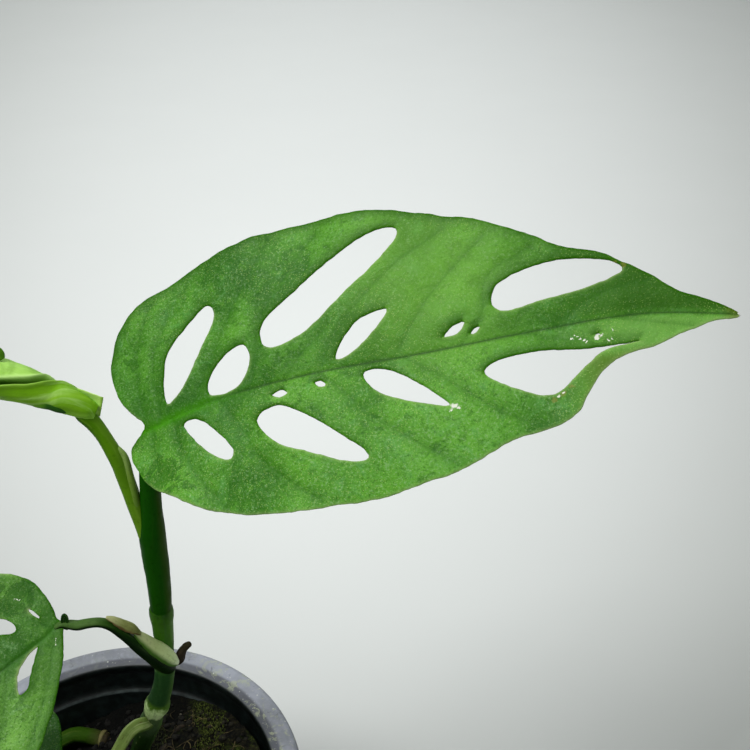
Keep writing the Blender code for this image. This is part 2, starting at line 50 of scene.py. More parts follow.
class Look:
    """A material with short calls for the nodes it needs. A call for a value gives its socket."""

    def __init__(self, name, roughness=0.5, specular=0.5):
        self.mat = bpy.data.materials.new(name)
        self.mat.use_nodes = True
        self.tree = self.mat.node_tree
        self.shader = self.tree.nodes["Principled BSDF"]
        self.shader.inputs["Roughness"].default_value = roughness
        self.shader.inputs["Specular IOR Level"].default_value = specular

    def node(self, kind, **values):
        made = self.tree.nodes.new(kind)
        for key, value in values.items():
            setattr(made, key, value)
        return made

    def plug(self, value, socket):
        if isinstance(value, bpy.types.NodeSocket):
            self.tree.links.new(value, socket)
        elif isinstance(value, tuple) and len(value) == 3 and socket.type == "RGBA":
            socket.default_value = (*value, 1.0)
        else:
            socket.default_value = value

    def coords(self):
        return self.node("ShaderNodeTexCoord").outputs["Object"]

    def scaled(self, vector, stretch):
        made = self.node("ShaderNodeMapping")
        self.plug(vector, made.inputs["Vector"])
        made.inputs["Scale"].default_value = stretch
        return made.outputs["Vector"]

    def attribute(self, name, vector=False):
        made = self.node("ShaderNodeAttribute", attribute_name=name)
        return made.outputs["Vector" if vector else "Fac"]

    def noise(self, vector, scale, detail=3.0, roughness=0.55, distortion=0.0):
        made = self.node("ShaderNodeTexNoise")
        self.plug(vector, made.inputs["Vector"])
        made.inputs["Scale"].default_value = scale
        made.inputs["Detail"].default_value = detail
        made.inputs["Roughness"].default_value = roughness
        made.inputs["Distortion"].default_value = distortion
        return made.outputs["Fac"]

    def cells(self, vector, scale, output="Distance"):
        made = self.node("ShaderNodeTexVoronoi")
        self.plug(vector, made.inputs["Vector"])
        made.inputs["Scale"].default_value = scale
        return made.outputs[output]

    def span(self, value, low, high, out_low=0.0, out_high=1.0):
        """Eases from out_low to out_high while the value goes from low to high."""
        made = self.node("ShaderNodeMapRange", interpolation_type="SMOOTHSTEP")
        self.plug(value, made.inputs["Value"])
        for key, number in (("From Min", low), ("From Max", high),
                            ("To Min", out_low), ("To Max", out_high)):
            made.inputs[key].default_value = number
        return made.outputs["Result"]

    def maths(self, operation, a, b=0.0):
        made = self.node("ShaderNodeMath", operation=operation)
        self.plug(a, made.inputs[0])
        self.plug(b, made.inputs[1])
        return made.outputs[0]

    def distance(self, vector, spot):
        made = self.node("ShaderNodeVectorMath", operation="DISTANCE")
        self.plug(vector, made.inputs[0])
        made.inputs[1].default_value = spot
        return made.outputs["Value"]

    def mix(self, amount, a, b):
        made = self.node("ShaderNodeMix", data_type="RGBA")
        self.plug(amount, made.inputs[0])
        self.plug(a, made.inputs[6])
        self.plug(b, made.inputs[7])
        return made.outputs[2]

    def tints(self, colour, *rows):
        """Tones laid over a colour. A row is a value, its span, the most it mixes and the tone."""
        for value, low, high, amount, tone in rows:
            colour = self.mix(self.span(value, low, high, 0, amount), colour, tone)
        return colour

    def ramp(self, value, *stops):
        made = self.node("ShaderNodeValToRGB")
        self.plug(value, made.inputs["Fac"])
        marks = made.color_ramp.elements
        while len(marks) < len(stops):
            marks.new(0.5)
        for mark, (place, colour) in zip(marks, stops):
            mark.position = place
            mark.color = (*colour, 1.0)
        return made.outputs["Color"]

    def part(self, vector, axis):
        made = self.node("ShaderNodeSeparateXYZ")
        self.plug(vector, made.inputs[0])
        return made.outputs[axis]

    def facing(self, axis):
        """Part of the surface normal along an axis of the scene."""
        return self.part(self.node("ShaderNodeNewGeometry").outputs["Normal"], axis)

    def times(self, *values):
        out = values[0]
        for value in values[1:]:
            out = self.maths("MULTIPLY", out, value)
        return out

    def bump(self, height, strength, distance, below=None):
        made = self.node("ShaderNodeBump")
        self.plug(height, made.inputs["Height"])
        made.inputs["Strength"].default_value = strength
        made.inputs["Distance"].default_value = distance
        if below is not None:
            self.plug(below, made.inputs["Normal"])
        return made.outputs["Normal"]

    def finish(self, colour, roughness=None, normal=None):
        self.plug(colour, self.shader.inputs["Base Color"])
        if roughness is not None:
            self.plug(roughness, self.shader.inputs["Roughness"])
        if normal is not None:
            self.plug(normal, self.shader.inputs["Normal"])
        return self.mat


def srgb(r, g, b):
    """Linear colour of a screen colour in 0 to 255."""
    return tuple(c / 255 / 12.92 if c <= 10 else ((c / 255 + 0.055) / 1.055) ** 2.4
                 for c in (r, g, b))


# ================================================================ mesh helpers

def attach(piece, node):
    """Puts a piece on the body in place of its CAD node."""
    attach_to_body(piece, "root")
    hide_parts(node)


def make(name, verts, faces, mat, node=None, fields=None):
    """A piece: mesh, material and its CAD node. fields are values at its vertices."""
    mesh = bpy.data.meshes.new(name)
    mesh.from_pydata([tuple(v) for v in verts], [], [tuple(f) for f in faces])
    for key, values in (fields or {}).items():
        values = np.asarray(values, np.float32)
        kind = "FLOAT_VECTOR" if values.ndim == 2 else "FLOAT"
        layer = mesh.attributes.new(key, kind, "POINT")
        layer.data.foreach_set("vector" if values.ndim == 2 else "value", values.ravel())
    work = bmesh.new()
    work.from_mesh(mesh)
    bmesh.ops.recalc_face_normals(work, faces=work.faces)
    work.to_mesh(mesh)
    work.free()
    mesh.polygons.foreach_set("use_smooth", [True] * len(mesh.polygons))
    mesh.materials.append(mat)
    piece = bpy.data.objects.new(name, mesh)
    bpy.context.collection.objects.link(piece)
    if node:
        attach(piece, node)
    return piece


def through(points, steps, closed=False):
    """Points on a smooth curve that passes through the given ones."""
    count = len(points)
    out = []
    for i in range(count if closed else count - 1):
        if closed:
            a, b, c, d = (points[(i + k) % count] for k in (-1, 0, 1, 2))
        else:
            b, c = points[i], points[i + 1]
            a = points[i - 1] if i else [2 * p - q for p, q in zip(b, c)]
            d = points[i + 2] if i + 2 < count else [2 * q - p for p, q in zip(b, c)]
        for k in range(steps):
            t = k / steps
            out.append(tuple(
                0.5 * (2 * q + (r - p) * t + (2 * p - 5 * q + 4 * r - s) * t * t
                       + (3 * q - p - 3 * r + s) * t ** 3)
                for p, q, r, s in zip(a, b, c, d)))
    if not closed:
        out.append(tuple(points[-1]))
    return out


def evenly(line, spacing, closed=False):
    """The same line with its points about one spacing apart."""
    p = np.array(line + line[:1] if closed else line, float)
    run = np.r_[0, np.cumsum(np.linalg.norm(np.diff(p, axis=0), axis=1))]
    count = max(3, int(round(run[-1] / spacing)))
    at = np.linspace(0, run[-1], count + 1)
    out = np.stack([np.interp(at, run, p[:, k]) for k in range(p.shape[1])], 1)
    return out[:-1] if closed else out


def within(points, loop):
    """True for each point inside the loop."""
    x, y = points[:, 0][:, None], points[:, 1][:, None]
    a, b = loop, np.roll(loop, -1, axis=0)
    rise = (a[:, 1] > y) != (b[:, 1] > y)
    with np.errstate(divide="ignore", invalid="ignore"):
        cross = a[:, 0] + (b[:, 0] - a[:, 0]) * (y - a[:, 1]) / (b[:, 1] - a[:, 1])
    return (rise & (x < cross)).sum(1) % 2 == 1


def reach(points, line, closed=False):
    """Distance of each point from a line, in its units."""
    line = np.asarray(line, float)
    a = line if closed else line[:-1]
    b = np.roll(line, -1, axis=0) if closed else line[1:]
    best = np.full(len(points), 1e9)
    for start in range(0, len(points), 2000):
        p = points[start:start + 2000][:, None, :]
        d = b - a
        t = ((p - a) * d).sum(2) / np.maximum((d * d).sum(1), 1e-12)
        near = a + np.clip(t, 0, 1)[..., None] * d
        best[start:start + 2000] = np.sqrt(((p - near) ** 2).sum(2)).min(1)
    return best


def wobble(points, size, seed=0.0):
    """Smooth random value from about -1 to 1 at each point; size is that of its features."""
    return np.array([noise.noise(Vector((p[0] / size + seed, p[1] / size - seed,
                                         (p[2] / size if len(p) > 2 else 0.0) + seed * 0.37)))
                     for p in points])


# ================================================================ leaves

LARGE_LEAF = dict(
    base=(29.0, 0, 236.5), tip=(162.5, -7, 272.0), facing=(0, -0.643, 0.766), arch=9.0,
    thick=0.55, grid=1.15, quilt=0.55, ripple=(0.9, 31.0, 0.6),
    midrib=[(-12, -0.6), (0, 0), (20, 3.0), (45, 3.4), (70, 2.6), (95, 3.0), (118, 3.2), (140, 0)],
    outline=[
        (0, 1.6), (-3.5, 5.5), (-7, 11), (-8.5, 18), (-5.5, 26), (1, 31.5), (11, 35), (20, 38),
        (34, 40), (46, 40.5), (58, 39.5), (70, 37.2), (83, 32.7), (94, 27), (105, 20.5),
        (112, 18.4), (116, 15.4), (122, 11.3), (126.5, 7), (132, 4.4), (138.3, 0), (131, -0.6),
        (125, -2.4), (119, -4.6), (113, -5.4), (107.5, -8.2), (104, -12.5), (101, -16.5),
        (96, -18.6), (86, -20.4), (75, -24.4), (61, -27), (45, -27.4), (30, -26), (18, -23.2),
        (8, -18), (1, -13.6), (-2.6, -9), (-4, -4.4), (-2.4, -1.8)],
    windows=[
        [(7, 5), (6.5, 10), (8.5, 17.5), (14, 22.5), (20, 26.3), (22, 23), (17.5, 16), (11.5, 7.5)],
        [(18.5, 4.6), (19, 8.5), (23, 12.4), (28.5, 14.2), (30.2, 10.5), (27.5, 5.6), (23, 3.8)],
        [(33.5, 13), (34.5, 18.3), (43, 23.8), (51.5, 28.9), (63.5, 33.4), (69, 32.6), (65, 27.2),
         (54, 19.8), (44, 13.5), (37, 11.4)],
        [(50.6, 5.4), (52.4, 9.2), (57, 13.1), (64, 14.2), (61, 10.2), (55, 6.2)],
        [(11, -1.4), (15, -0.6), (20, -4.8), (23.8, -10), (22, -12.2), (16.4, -8.4)],
        [(34.5, 0.6), (36.6, 1.4), (38.5, 0.2), (36.4, -0.6)],
        [(44.9, 1.1), (46.6, 1.4), (47.7, -0.1), (45.9, -0.2)],
        [(30.2, -4.6), (35, -2.1), (41, -4.8), (49, -11.2), (55.6, -17.6), (52, -18.8),
         (43, -15.1), (34.5, -10.8)],
        [(56.8, 1.2), (62, 0.6), (68.3, -3.8), (74.8, -10.4), (68, -8.7), (60.5, -5.2), (57, -1.6)],
        [(75.5, 5.2), (77.6, 7.3), (80.6, 7.8), (78.6, 5.4)],
        [(81.2, 5), (82.4, 6.2), (83.7, 6), (82.4, 4.8)],
        [(87, 10.4), (88.6, 14.6), (95.5, 17.2), (104.5, 18), (113.2, 16.4), (115.9, 13.4),
         (108, 10.9), (98, 9.4), (89.8, 8.4)],
        [(82.9, -5), (86.2, -2.3), (95.5, -1.7), (105, -2.9), (116.6, -3), (109, -4), (104, -7.2),
         (96.8, -12.1), (89.5, -9.8)],
        [(107.4, -0.1), (108.1, 0.2), (108.7, -0.2), (108.0, -0.5)]],
    veins=[
        [(1, 0.6), (-1, 10), (0, 20), (4, 30)], [(4, 0.9), (5, 4), (4, 10), (4.6, 18), (9, 27)],
        [(13, 2.4), (18.5, 11), (25, 21), (33, 32), (38, 39)],
        [(29, 3.3), (31.5, 10), (33, 18.5), (40, 27), (49, 37)],
        [(46, 3.4), (51, 11), (59, 18.5), (68, 25), (79, 31)],
        [(64, 2.8), (70, 11), (77, 18.5), (88, 27)], [(79, 2.8), (84.5, 9), (87, 17), (97, 22)],
        [(100, 3.2), (107, 8), (114, 10), (121, 10.5)], [(38, 3.5), (43, 9), (50, 14)],
        [(8, 1.2), (10, -6), (14, -14), (20, -22)], [(2, 0), (2.6, -5), (4, -12)],
        [(21, 2.8), (26, -5), (30, -13), (38, -21), (44, -26)],
        [(46, 3.3), (52, -3), (57, -9), (65, -16), (74, -23)],
        [(66, 2.7), (73, -3), (79, -8.4), (87, -15), (94, -18)], [(92, 3), (101, 0), (112, -1.6)],
        [(112, 3.3), (120, 1), (128, -1)]],
    scars=[(75.4, -10.9, 0.9), (76.5, -11.5, 0.5), (74.6, -11.7, 0.4), (107.6, -0.7, 0.7),
           (108.8, -0.3, 0.5), (103.0, 0.5, 0.25), (103.6, 0.1, 0.25), (104.2, -0.5, 0.3),
           (104.8, -0.9, 0.25), (105.3, -1.5, 0.25), (102.4, 0.0, 0.2), (109.8, -1.6, 0.35),
           (110.6, -1.5, 0.25), (111.5, 0.2, 0.2), (97.4, -12.6, 0.45), (98.6, -12.1, 0.3),
           (138.4, 0.1, 0.7)],
    burns=[(96.4, -13.2, 0.7), (98.6, -12.3, 0.8), (100.4, -11.0, 0.7), (116.4, 14.5, 0.8),
           (114.8, 15.6, 0.7)])

LEFT_LEAF = dict(
    base=(-0.6, -4.6, 177.0), tip=(-79.0, -47.0, 131.0), facing=(0, -0.70, 0.71), arch=9.0,
    thick=0.55, grid=1.15, quilt=0.55, ripple=(0.8, 26.0, 1.4),
    midrib=[(-12, 0), (0, 0), (5, 1.0), (17, 1.4), (45, 2.0), (75, 1.4), (101, 0)],
    outline=[
        (-0.4, -1.6), (-1.0, -4.4), (-1.5, -9), (-1, -13), (0.8, -16.3), (4.3, -20.1),
        (10, -24.4), (18, -27.8), (30, -29), (44, -27), (58, -22), (72, -15.5), (84, -9),
        (94, -3), (100.3, 0), (92, 5.4), (80, 11.8), (66, 19), (50, 25.5), (37, 28.5), (28, 27.6),
        (19.8, 23.8), (13.7, 19), (7.7, 13.5), (3.6, 8), (0.8, 3.4), (-0.8, 0.8)],
    windows=[
        [(8.2, -5.8), (9, -8.6), (12, -11.6), (18, -16.4), (23, -18.4), (24, -15), (18, -10),
         (12.6, -6.4), (9.6, -4.6)],
        [(2.4, -4.2), (2.7, -5.9), (3.4, -7.7), (4, -7.3), (3.6, -5.5), (3, -4)],
        [(30, -5.4), (33, -12), (40, -19), (45, -18.4), (42.5, -11), (36, -5)],
        [(7, 1.9), (9.3, 2), (11.6, 3), (13.7, 4.1), (15.6, 6.5), (16.7, 9.7), (14.1, 9.5),
         (12.1, 7.3), (9.4, 4.5)],
        [(25, 5.4), (27, 12), (34, 19.5), (39, 19), (37, 11), (31, 5.2)],
        [(48, 4.8), (52, 11.6), (58.4, 16), (61, 12.6), (56, 6)]],
    veins=[
        [(1, 0.2), (2.6, -1.5), (6, -8), (9.5, -13), (16, -20)], [(0.5, 0), (0.8, -6), (2, -14)],
        [(14, 1.3), (21, -7), (29, -15), (37, -24)], [(32, 1.8), (42, -8), (54, -18)],
        [(54, 1.8), (64, -8), (74, -13)], [(1.5, 0.4), (5, 6), (10, 12), (18, 19), (26, 26)],
        [(15, 1.4), (19, 7), (25, 15), (34, 24)], [(36, 1.9), (43, 10), (50, 18), (57, 21)],
        [(60, 1.7), (68, 8), (76, 12)]],
    scars=[(3.9, -11.0, 0.25), (4.3, -11.5, 0.2), (4.6, -12.0, 0.2), (2.2, 3.1, 0.2),
           (2.6, 3.5, 0.22), (3.0, 3.9, 0.2), (3.4, 4.4, 0.18)],
    burns=[])

LOW_LEAF = dict(
    base=(-7.6, -5.0, 111.4), tip=(-52.0, -15.0, 106.0), facing=(-0.05, -0.5, 0.86), arch=4.0,
    thick=0.55, grid=1.3, quilt=0.4, ripple=(0.5, 18.0, 0.0),
    midrib=[(-8, 0), (0, 0), (20, 1), (46, 0)],
    outline=[
        (0, -1.4), (1.2, -4.6), (1.6, -9), (1.3, -13.2), (1.5, -17.4), (3.2, -21.4), (8, -24.2),
        (16, -24), (26, -19.6), (36, -11.6), (45.8, 0), (38, 7.6), (28, 13.4), (17, 17.6),
        (7, 18), (-0.4, 14), (-2.8, 8.6), (-1.8, 3)],
    windows=[],
    veins=[[(1, 0), (4, -10), (9, -20)], [(10, 0.5), (17, -9), (24, -17)],
           [(22, 1), (30, -6), (36, -10)], [(1, 0), (2, 8), (5, 15)], [(10, 0.5), (16, 8), (22, 14)],
           [(22, 1), (29, 6), (34, 9)]],
    scars=[], burns=[])

FOLD, DROOP = 0.12, 3.0        # rise from the midrib, and fall of the margin per metre
RIM_STEP, VEIN_STEP = 0.8, 1.0  # spacing of the points on rims and on veins, millimetres
RIM_ROOM, ROW_ROOM = 0.24, 0.27  # least room to a rim, and between points of the rows
EDGE_WAY = (-0.45, 0.89)       # direction in a leaf's plane that sets which edges get painted shade and which a painted highlight


def leaf_place(leaf):
    """Origin at the leaf's base, X along the midrib, Z out of its upper face."""
    base, tip = Vector(leaf["base"]), Vector(leaf["tip"])
    along = (tip - base).normalized()
    up = Vector(leaf["facing"])
    up = (up - along * up.dot(along)).normalized()
    turn = Matrix((along, up.cross(along), up)).transposed()
    return Matrix.Translation(base * MM) @ turn.to_4x4()


def beside(line, gap):
    """The line moved sideways, in millimetres."""
    run = np.gradient(line, axis=0)
    run /= np.maximum(np.linalg.norm(run, axis=1), 1e-9)[:, None]
    return line + np.stack([-run[:, 1], run[:, 0]], 1) * gap


def in_blade(points, rims):
    """True for each point inside the outline and outside every window."""
    keep = within(points, rims[0])
    for rim in rims[1:]:
        keep &= ~within(points, rim)
    return keep


def leaf_points(leaf):
    """Flat points and triangles of a blade: its rims, rows beside rims and veins, and a grid."""
    step = leaf["grid"] * DETAIL
    rims = [evenly(through(line, 8, True), RIM_STEP * DETAIL, True)
            for line in (leaf["outline"], *leaf["windows"])]
    for k, rim in enumerate(rims):
        rims[k] = rim + 0.16 * np.stack([wobble(rim, 1.5, 3.0 + k), wobble(rim, 1.5, 9.0 + k)], 1)
        if k == 0:
            rims[k] += 0.35 * np.stack([wobble(rim, 5.5, 5.0), wobble(rim, 5.5, 8.0)], 1)
    points, edges = [], []
    for rim in rims:
        start = len(points)
        points += list(rim)
        edges += [(start + k, start + (k + 1) % len(rim)) for k in range(len(rim))]
    middle = evenly(through(leaf["midrib"], 8), RIM_STEP * DETAIL)
    rows = [beside(middle, gap) for gap in (0, 0.3, -0.3, 0.75, -0.75, 1.5, -1.5)]
    for vein in leaf["veins"]:
        line = evenly(through(vein, 8), VEIN_STEP * DETAIL)
        rows += [beside(line, gap) for gap in (0, 0.45, -0.45)]
    for rim in rims:
        for gap in (0.32, 0.8):
            rows += [beside(np.r_[rim, rim[:1]], gap), beside(np.r_[rim, rim[:1]], -gap)]
    low, high = rims[0].min(0), rims[0].max(0)
    grid = [(low[0] + step * (i + 0.5 * (k % 2)), low[1] + step * 0.87 * k)
            for k in range(int((high[1] - low[1]) / step / 0.87) + 1)
            for i in range(int((high[0] - low[0]) / step) + 2)]
    rows.append(np.array(grid))
    everything = np.concatenate(rows)
    gap = np.min([reach(everything, rim, True) for rim in rims], axis=0)
    keep = in_blade(everything, rims) & (gap > RIM_ROOM)
    spacing = np.concatenate([np.full(len(row), ROW_ROOM if row is not rows[-1] else 0.55 * step)
                              for row in rows])
    taken, cell = [], {}
    for p, room in zip(everything[keep], spacing[keep]):
        i, j = int(p[0] // 1), int(p[1] // 1)
        near = (q for a in (-1, 0, 1) for b in (-1, 0, 1) for q in cell.get((i + a, j + b), ()))
        if all((p[0] - q[0]) ** 2 + (p[1] - q[1]) ** 2 > room * room for q in near):
            cell.setdefault((i, j), []).append(p)
            taken.append(p)
    points += taken
    flat, _, tris, *_ = delaunay_2d_cdt([Vector(p) for p in points], edges, [], 0, 1e-5)
    flat = np.array([tuple(p) for p in flat])
    tris = np.array([tuple(t) for t in tris])
    return flat, tris[in_blade(flat[tris].mean(1), rims)], rims, middle


def bell(gap, width):
    """1 at a line, falling to 0 away from it."""
    return np.exp(-(gap / width) ** 2)


def leaf_blade(name, leaf, mat, node):
    """Closed blade with its quilting, midrib, veins, windows and rounded margins."""
    flat, tris, rims, middle = leaf_points(leaf)
    length = (Vector(leaf["tip"]) - Vector(leaf["base"])).length
    t = flat[:, 0] / length
    side = flat[:, 1] - np.interp(flat[:, 0], middle[:, 0], middle[:, 1])
    far = np.abs(side)
    height = leaf["arch"] * 4 * t * (1 - t) + FOLD * (np.hypot(side, 2) - 2)
    height -= DROOP * MM * side * side
    wave, pitch, phase = leaf["ripple"]
    swell = np.sin(2 * math.pi * flat[:, 0] / pitch + phase + np.sign(side))
    height += wave * swell * (far / 30) ** 1.5
    height += 0.5 * wobble(flat, 13.0, 2.0) * np.clip(far / 12, 0, 1)
    height += 0.10 * wobble(flat, 3.2, 5.0)
    rib_gap = reach(flat, middle)
    veins = [evenly(through(v, 8), 0.8) for v in leaf["veins"]]
    vein_gap = np.min([reach(flat, v) for v in veins], axis=0)
    rim_gap = np.min([reach(flat, r, True) for r in rims], axis=0)
    nearest = np.minimum(vein_gap, rib_gap)
    quilt = leaf["quilt"] * (1 - bell(nearest, 4.0))
    groove = 0.30 * bell(rib_gap, 0.5) * np.clip(1.15 - t, 0, 1) + 0.14 * bell(vein_gap, 0.55)
    top = height + quilt - groove + leaf["thick"] / 2
    rib = bell(rib_gap, 0.9) * np.clip(1 - t, 0, 1) + 0.25 * bell(vein_gap, 0.5)
    bottom = height + quilt * 0.9 - leaf["thick"] / 2 - rib
    thin = 0.12 * np.exp(-rim_gap / 0.35)
    top, bottom = top - thin, bottom + thin
    # rounded margin: one more ring half way down, a little outside
    count = len(flat)
    directed = {}
    for a, b, c in tris:
        directed.update({(a, b): 1, (b, c): 1, (c, a): 1})
    border = [e for e in directed if (e[1], e[0]) not in directed]
    follow = {a: b for a, b in border}
    before = {b: a for a, b in border}
    ring, extra = {}, []
    for a in follow:
        run = flat[follow[a]] - flat[before[a]]
        out = np.array([run[1], -run[0]]) / max(np.linalg.norm(run), 1e-6)
        ring[a] = 2 * count + len(extra)
        extra.append((*(flat[a] + out * 0.14), (top[a] + bottom[a]) / 2))
    verts = np.r_[np.c_[flat, top], np.c_[flat, bottom], np.array(extra)] * MM
    faces = [tuple(f) for f in tris] + [tuple(count + k for k in f[::-1]) for f in tris]
    for a, b in border:
        faces += [(a, ring[a], ring[b], b), (ring[a], count + a, count + b, ring[b])]

    def both(values, edge_value=None):
        values = np.asarray(values, float)
        tail = [values[a] if edge_value is None else edge_value for a in follow]
        return np.r_[values, values, tail]

    under = np.r_[np.zeros(count), np.ones(count), np.full(len(extra), 0.4)]
    # which way the nearest rim lies: an edge at the upper left of a window or of the blade is
    # shaded, and one at the lower right is lit
    tree = kdtree.KDTree(sum(len(r) for r in rims))
    rim_points = [(p, -1.0 if k == 0 else 1.0) for k, r in enumerate(rims) for p in r]
    for k, (p, _) in enumerate(rim_points):
        tree.insert((p[0], p[1], 0), k)
    tree.balance()
    lit = np.zeros(count)
    for k, p in enumerate(flat):
        near, index, gap = tree.find((p[0], p[1], 0))
        if gap < 1e-6:
            run = flat[follow.get(k, k)] - flat[before.get(k, k)]
            toward = Vector((run[1], -run[0])).normalized()
        else:
            toward = Vector((near.x - p[0], near.y - p[1])).normalized()
        lit[k] = rim_points[index][1] * toward.dot(Vector(EDGE_WAY))
    glow = bell(rib_gap, 1.3) * np.clip(1.2 - np.abs(flat[:, 0] - 10) / 16, 0, 1)
    fields = {
        "rib": both(bell(rib_gap, 0.32)),
        "vein": both(bell(vein_gap, 0.5)),
        "valley": both(bell(nearest, 2.2)),
        "rim": both(bell(rim_gap, 0.3), 1.0),
        "near_rim": both(bell(rim_gap, 1.7)),
        "lit": both(lit * 0.5 + 0.5),
        "middle": both(bell(side, 6.5)),
        "glow": both(glow),
        "half": both(np.clip(side / 3, -1, 1) * 0.5 + 0.5),
        "along": both(t),
        "under": under,
        "sheet": [tuple(v) for v in verts],      # the leaf's own coordinates, for its marks
    }
    put = leaf_place(leaf)
    return make(name, [put @ Vector(v) for v in verts], faces, mat, node, fields=fields)


def leaf_look(name, tones, halves, speckle, rim_highlight, gloss=0.40, tip=0.0, scars=(), burns=()):
    """tones: dark, middle, light, bluish (a painted sheen) and glow. halves: painted shade and light,
    a tone and amount for each side of the midrib. tip: how much of the large leaf's olive and brown
    tip shows, and of the painted shade and light on its halves by the tip. scars, burns: (along, side, size)
    in mm."""
    dark, middle, light, sheen_blue, bright = tones
    g = Look(name)
    flat = g.scaled(g.attribute("sheet", vector=True), (1, 1, 0.2))
    broad = g.noise(flat, 40, 3, 0.5, 0.6)
    patch = g.noise(flat, 125, 5, 0.65, 1.3)
    spots = g.noise(flat, 420, 5, 0.7, 0.6)
    fine = g.noise(flat, 1700, 3, 0.7)
    half = g.attribute("half")
    along = g.attribute("along")
    colour = g.ramp(broad, (0.36, dark), (0.50, middle), (0.63, light))
    (low_tone, low_amount), (high_tone, high_amount) = halves
    # painted light and shade: the tones of the halves, a bluish painted sheen in some patches and painted
    # shade of the undulations in others; the spots and specks are the leaf's own mottling
    colour = g.tints(
        colour, (half, 0.55, 0.15, low_amount, low_tone), (half, 0.45, 0.85, high_amount, high_tone),
        (patch, 0.53, 0.68, 0.50, sheen_blue), (patch, 0.47, 0.34, 0.62, dark),
        (spots, 0.52, 0.68, 0.40, light), (spots, 0.47, 0.33, 0.45, dark),
        (fine, 0.48, 0.30, 0.70, dark), (fine, 0.53, 0.70, 0.42, g.mix(0.25, light, (1, 1, 1))))
    # painted shade on a strip along one side of the midrib, the shaded side of its fold
    strip = g.times(g.attribute("middle"), g.span(half, 0.45, 0.8), 0.42)
    colour = g.mix(strip, colour, dark)
    # painted shade in the valleys along the midrib and veins
    colour = g.mix(g.times(g.attribute("valley"), 0.22), colour, dark)
    if tip:
        # painted shade on the half of the blade that tilts away by the tip, and painted light on the other
        # half
        far = g.span(along, 0.66, 0.86)
        colour = g.mix(g.times(far, g.span(half, 0.4, 0.8), 0.80 * tip), colour, srgb(46, 96, 6))
        colour = g.mix(g.times(far, g.span(half, 0.6, 0.2), 0.70 * tip), colour, srgb(116, 172, 74))
        paler = g.distance(flat, (0.074, 0.020, 0))
        colour = g.tints(colour, (paler, 0.032, 0.006, 0.5, srgb(116, 176, 60)))
        # the narrow arm outside the last window is olive, and the point itself is brown
        arm = g.times(g.span(g.part(flat, 0), 0.099, 0.108), g.span(g.part(flat, 0), 0.128, 0.119),
                      g.span(g.part(flat, 1), -0.0035, -0.0065))
        colour = g.mix(g.times(arm, 0.75 * tip), colour, srgb(84, 116, 28))
        colour = g.tints(colour, (along, 0.965, 1.0, 0.7 * tip, srgb(104, 104, 30)))
    lit = g.attribute("lit")
    near = g.attribute("near_rim")
    shaded = g.times(near, g.span(lit, 0.42, 0.12), g.span(patch, 0.3, 0.6, 0.55, 1.0))
    colour = g.mix(g.times(shaded, 0.85), colour, g.mix(0.5, dark, srgb(50, 98, 4)))
    # hard-edged dark blotches of painted shade on the leaf's small folds, most of them by its base
    blot = g.noise(flat, 66, 4, 0.62, 1.0)
    colour = g.mix(g.times(g.span(blot, 0.56, 0.575), g.span(along, 0.34, 0.06, 0, 0.6)), colour, dark)
    # fine sparkling dots
    grain = g.cells(flat, 3000)
    chosen = g.part(g.cells(flat, 3000, output="Color"), 0)
    dots = g.times(g.span(grain, 0.42, 0.20), g.span(chosen, 0.52, 0.80))
    where = g.span(g.noise(flat, 26, 2), 0.36, 0.60, 0.25, 1.0)
    colour = g.mix(g.times(dots, where, speckle), colour, srgb(176, 208, 112))
    colour = g.mix(g.times(g.attribute("glow"), 0.8), colour, bright)
    rib_tone = g.mix(g.span(along, 0.0, 0.25), bright, srgb(34, 76, 14))
    colour = g.mix(g.times(g.attribute("rib"), 0.85), colour, rib_tone)
    colour = g.mix(g.times(g.attribute("vein"), 0.34), colour, dark)
    beneath = g.mix(g.span(broad, 0.35, 0.65), srgb(104, 146, 78), srgb(130, 168, 100))
    beneath = g.mix(g.span(spots, 0.4, 0.6, 0, 0.3), beneath, srgb(90, 132, 66))
    beneath = g.mix(g.times(g.attribute("vein"), 0.5), beneath, srgb(158, 190, 128))
    colour = g.mix(g.span(g.attribute("under"), 0.45, 0.9), colour, beneath)
    # painted highlight on the edges that face one way and painted shade on those that face the other
    edge = g.times(g.attribute("rim"), g.span(lit, 0.5, 0.8, 0.0, rim_highlight))
    colour = g.mix(edge, colour, srgb(190, 212, 146))
    edge = g.times(g.attribute("rim"), g.span(lit, 0.5, 0.2, 0.0, 0.35))
    colour = g.mix(edge, colour, srgb(44, 92, 14))
    # small marks with ragged edges: the place that they are measured from is jittered
    jitter = 1.8 * MM
    for full, tone, marks in ((0.55, srgb(134, 132, 56), burns), (1.0, srgb(238, 242, 226), scars)):
        worn = g.node("ShaderNodeVectorMath", operation="ADD")
        g.plug(flat, worn.inputs[0])
        shift = g.node("ShaderNodeTexNoise")
        g.plug(flat, shift.inputs["Vector"])
        shift.inputs["Scale"].default_value = 1100
        away = g.node("ShaderNodeVectorMath", operation="SCALE")
        g.plug(shift.outputs["Color"], away.inputs[0])
        away.inputs["Scale"].default_value = jitter
        g.plug(away.outputs[0], worn.inputs[1])
        for u, v, size in marks:
            gap = g.distance(g.scaled(worn.outputs[0], (1, 1, 0)),
                             (u * MM + jitter / 2, v * MM + jitter / 2, 0))
            colour = g.tints(colour, (gap, size * MM, size * MM * 0.4, full, tone))
    relief = g.bump(fine, 0.40, 0.0004)
    relief = g.bump(patch, 0.45, 0.0010, relief)
    relief = g.bump(spots, 0.38, 0.0006, relief)
    rough = g.span(g.noise(flat, 420, 3), 0.3, 0.7, gloss - 0.05, gloss + 0.10)
    g.plug(g.span(g.attribute("rim"), 0.05, 0.5, 0.16, 0.0), g.shader.inputs["Specular IOR Level"])
    return g.finish(colour, rough, relief)


# ================================================================ stems

STEM_STEPS = 10                # curve steps from one knot to the next
CONE = 0.35                    # length of a stem's rounded end, in radii


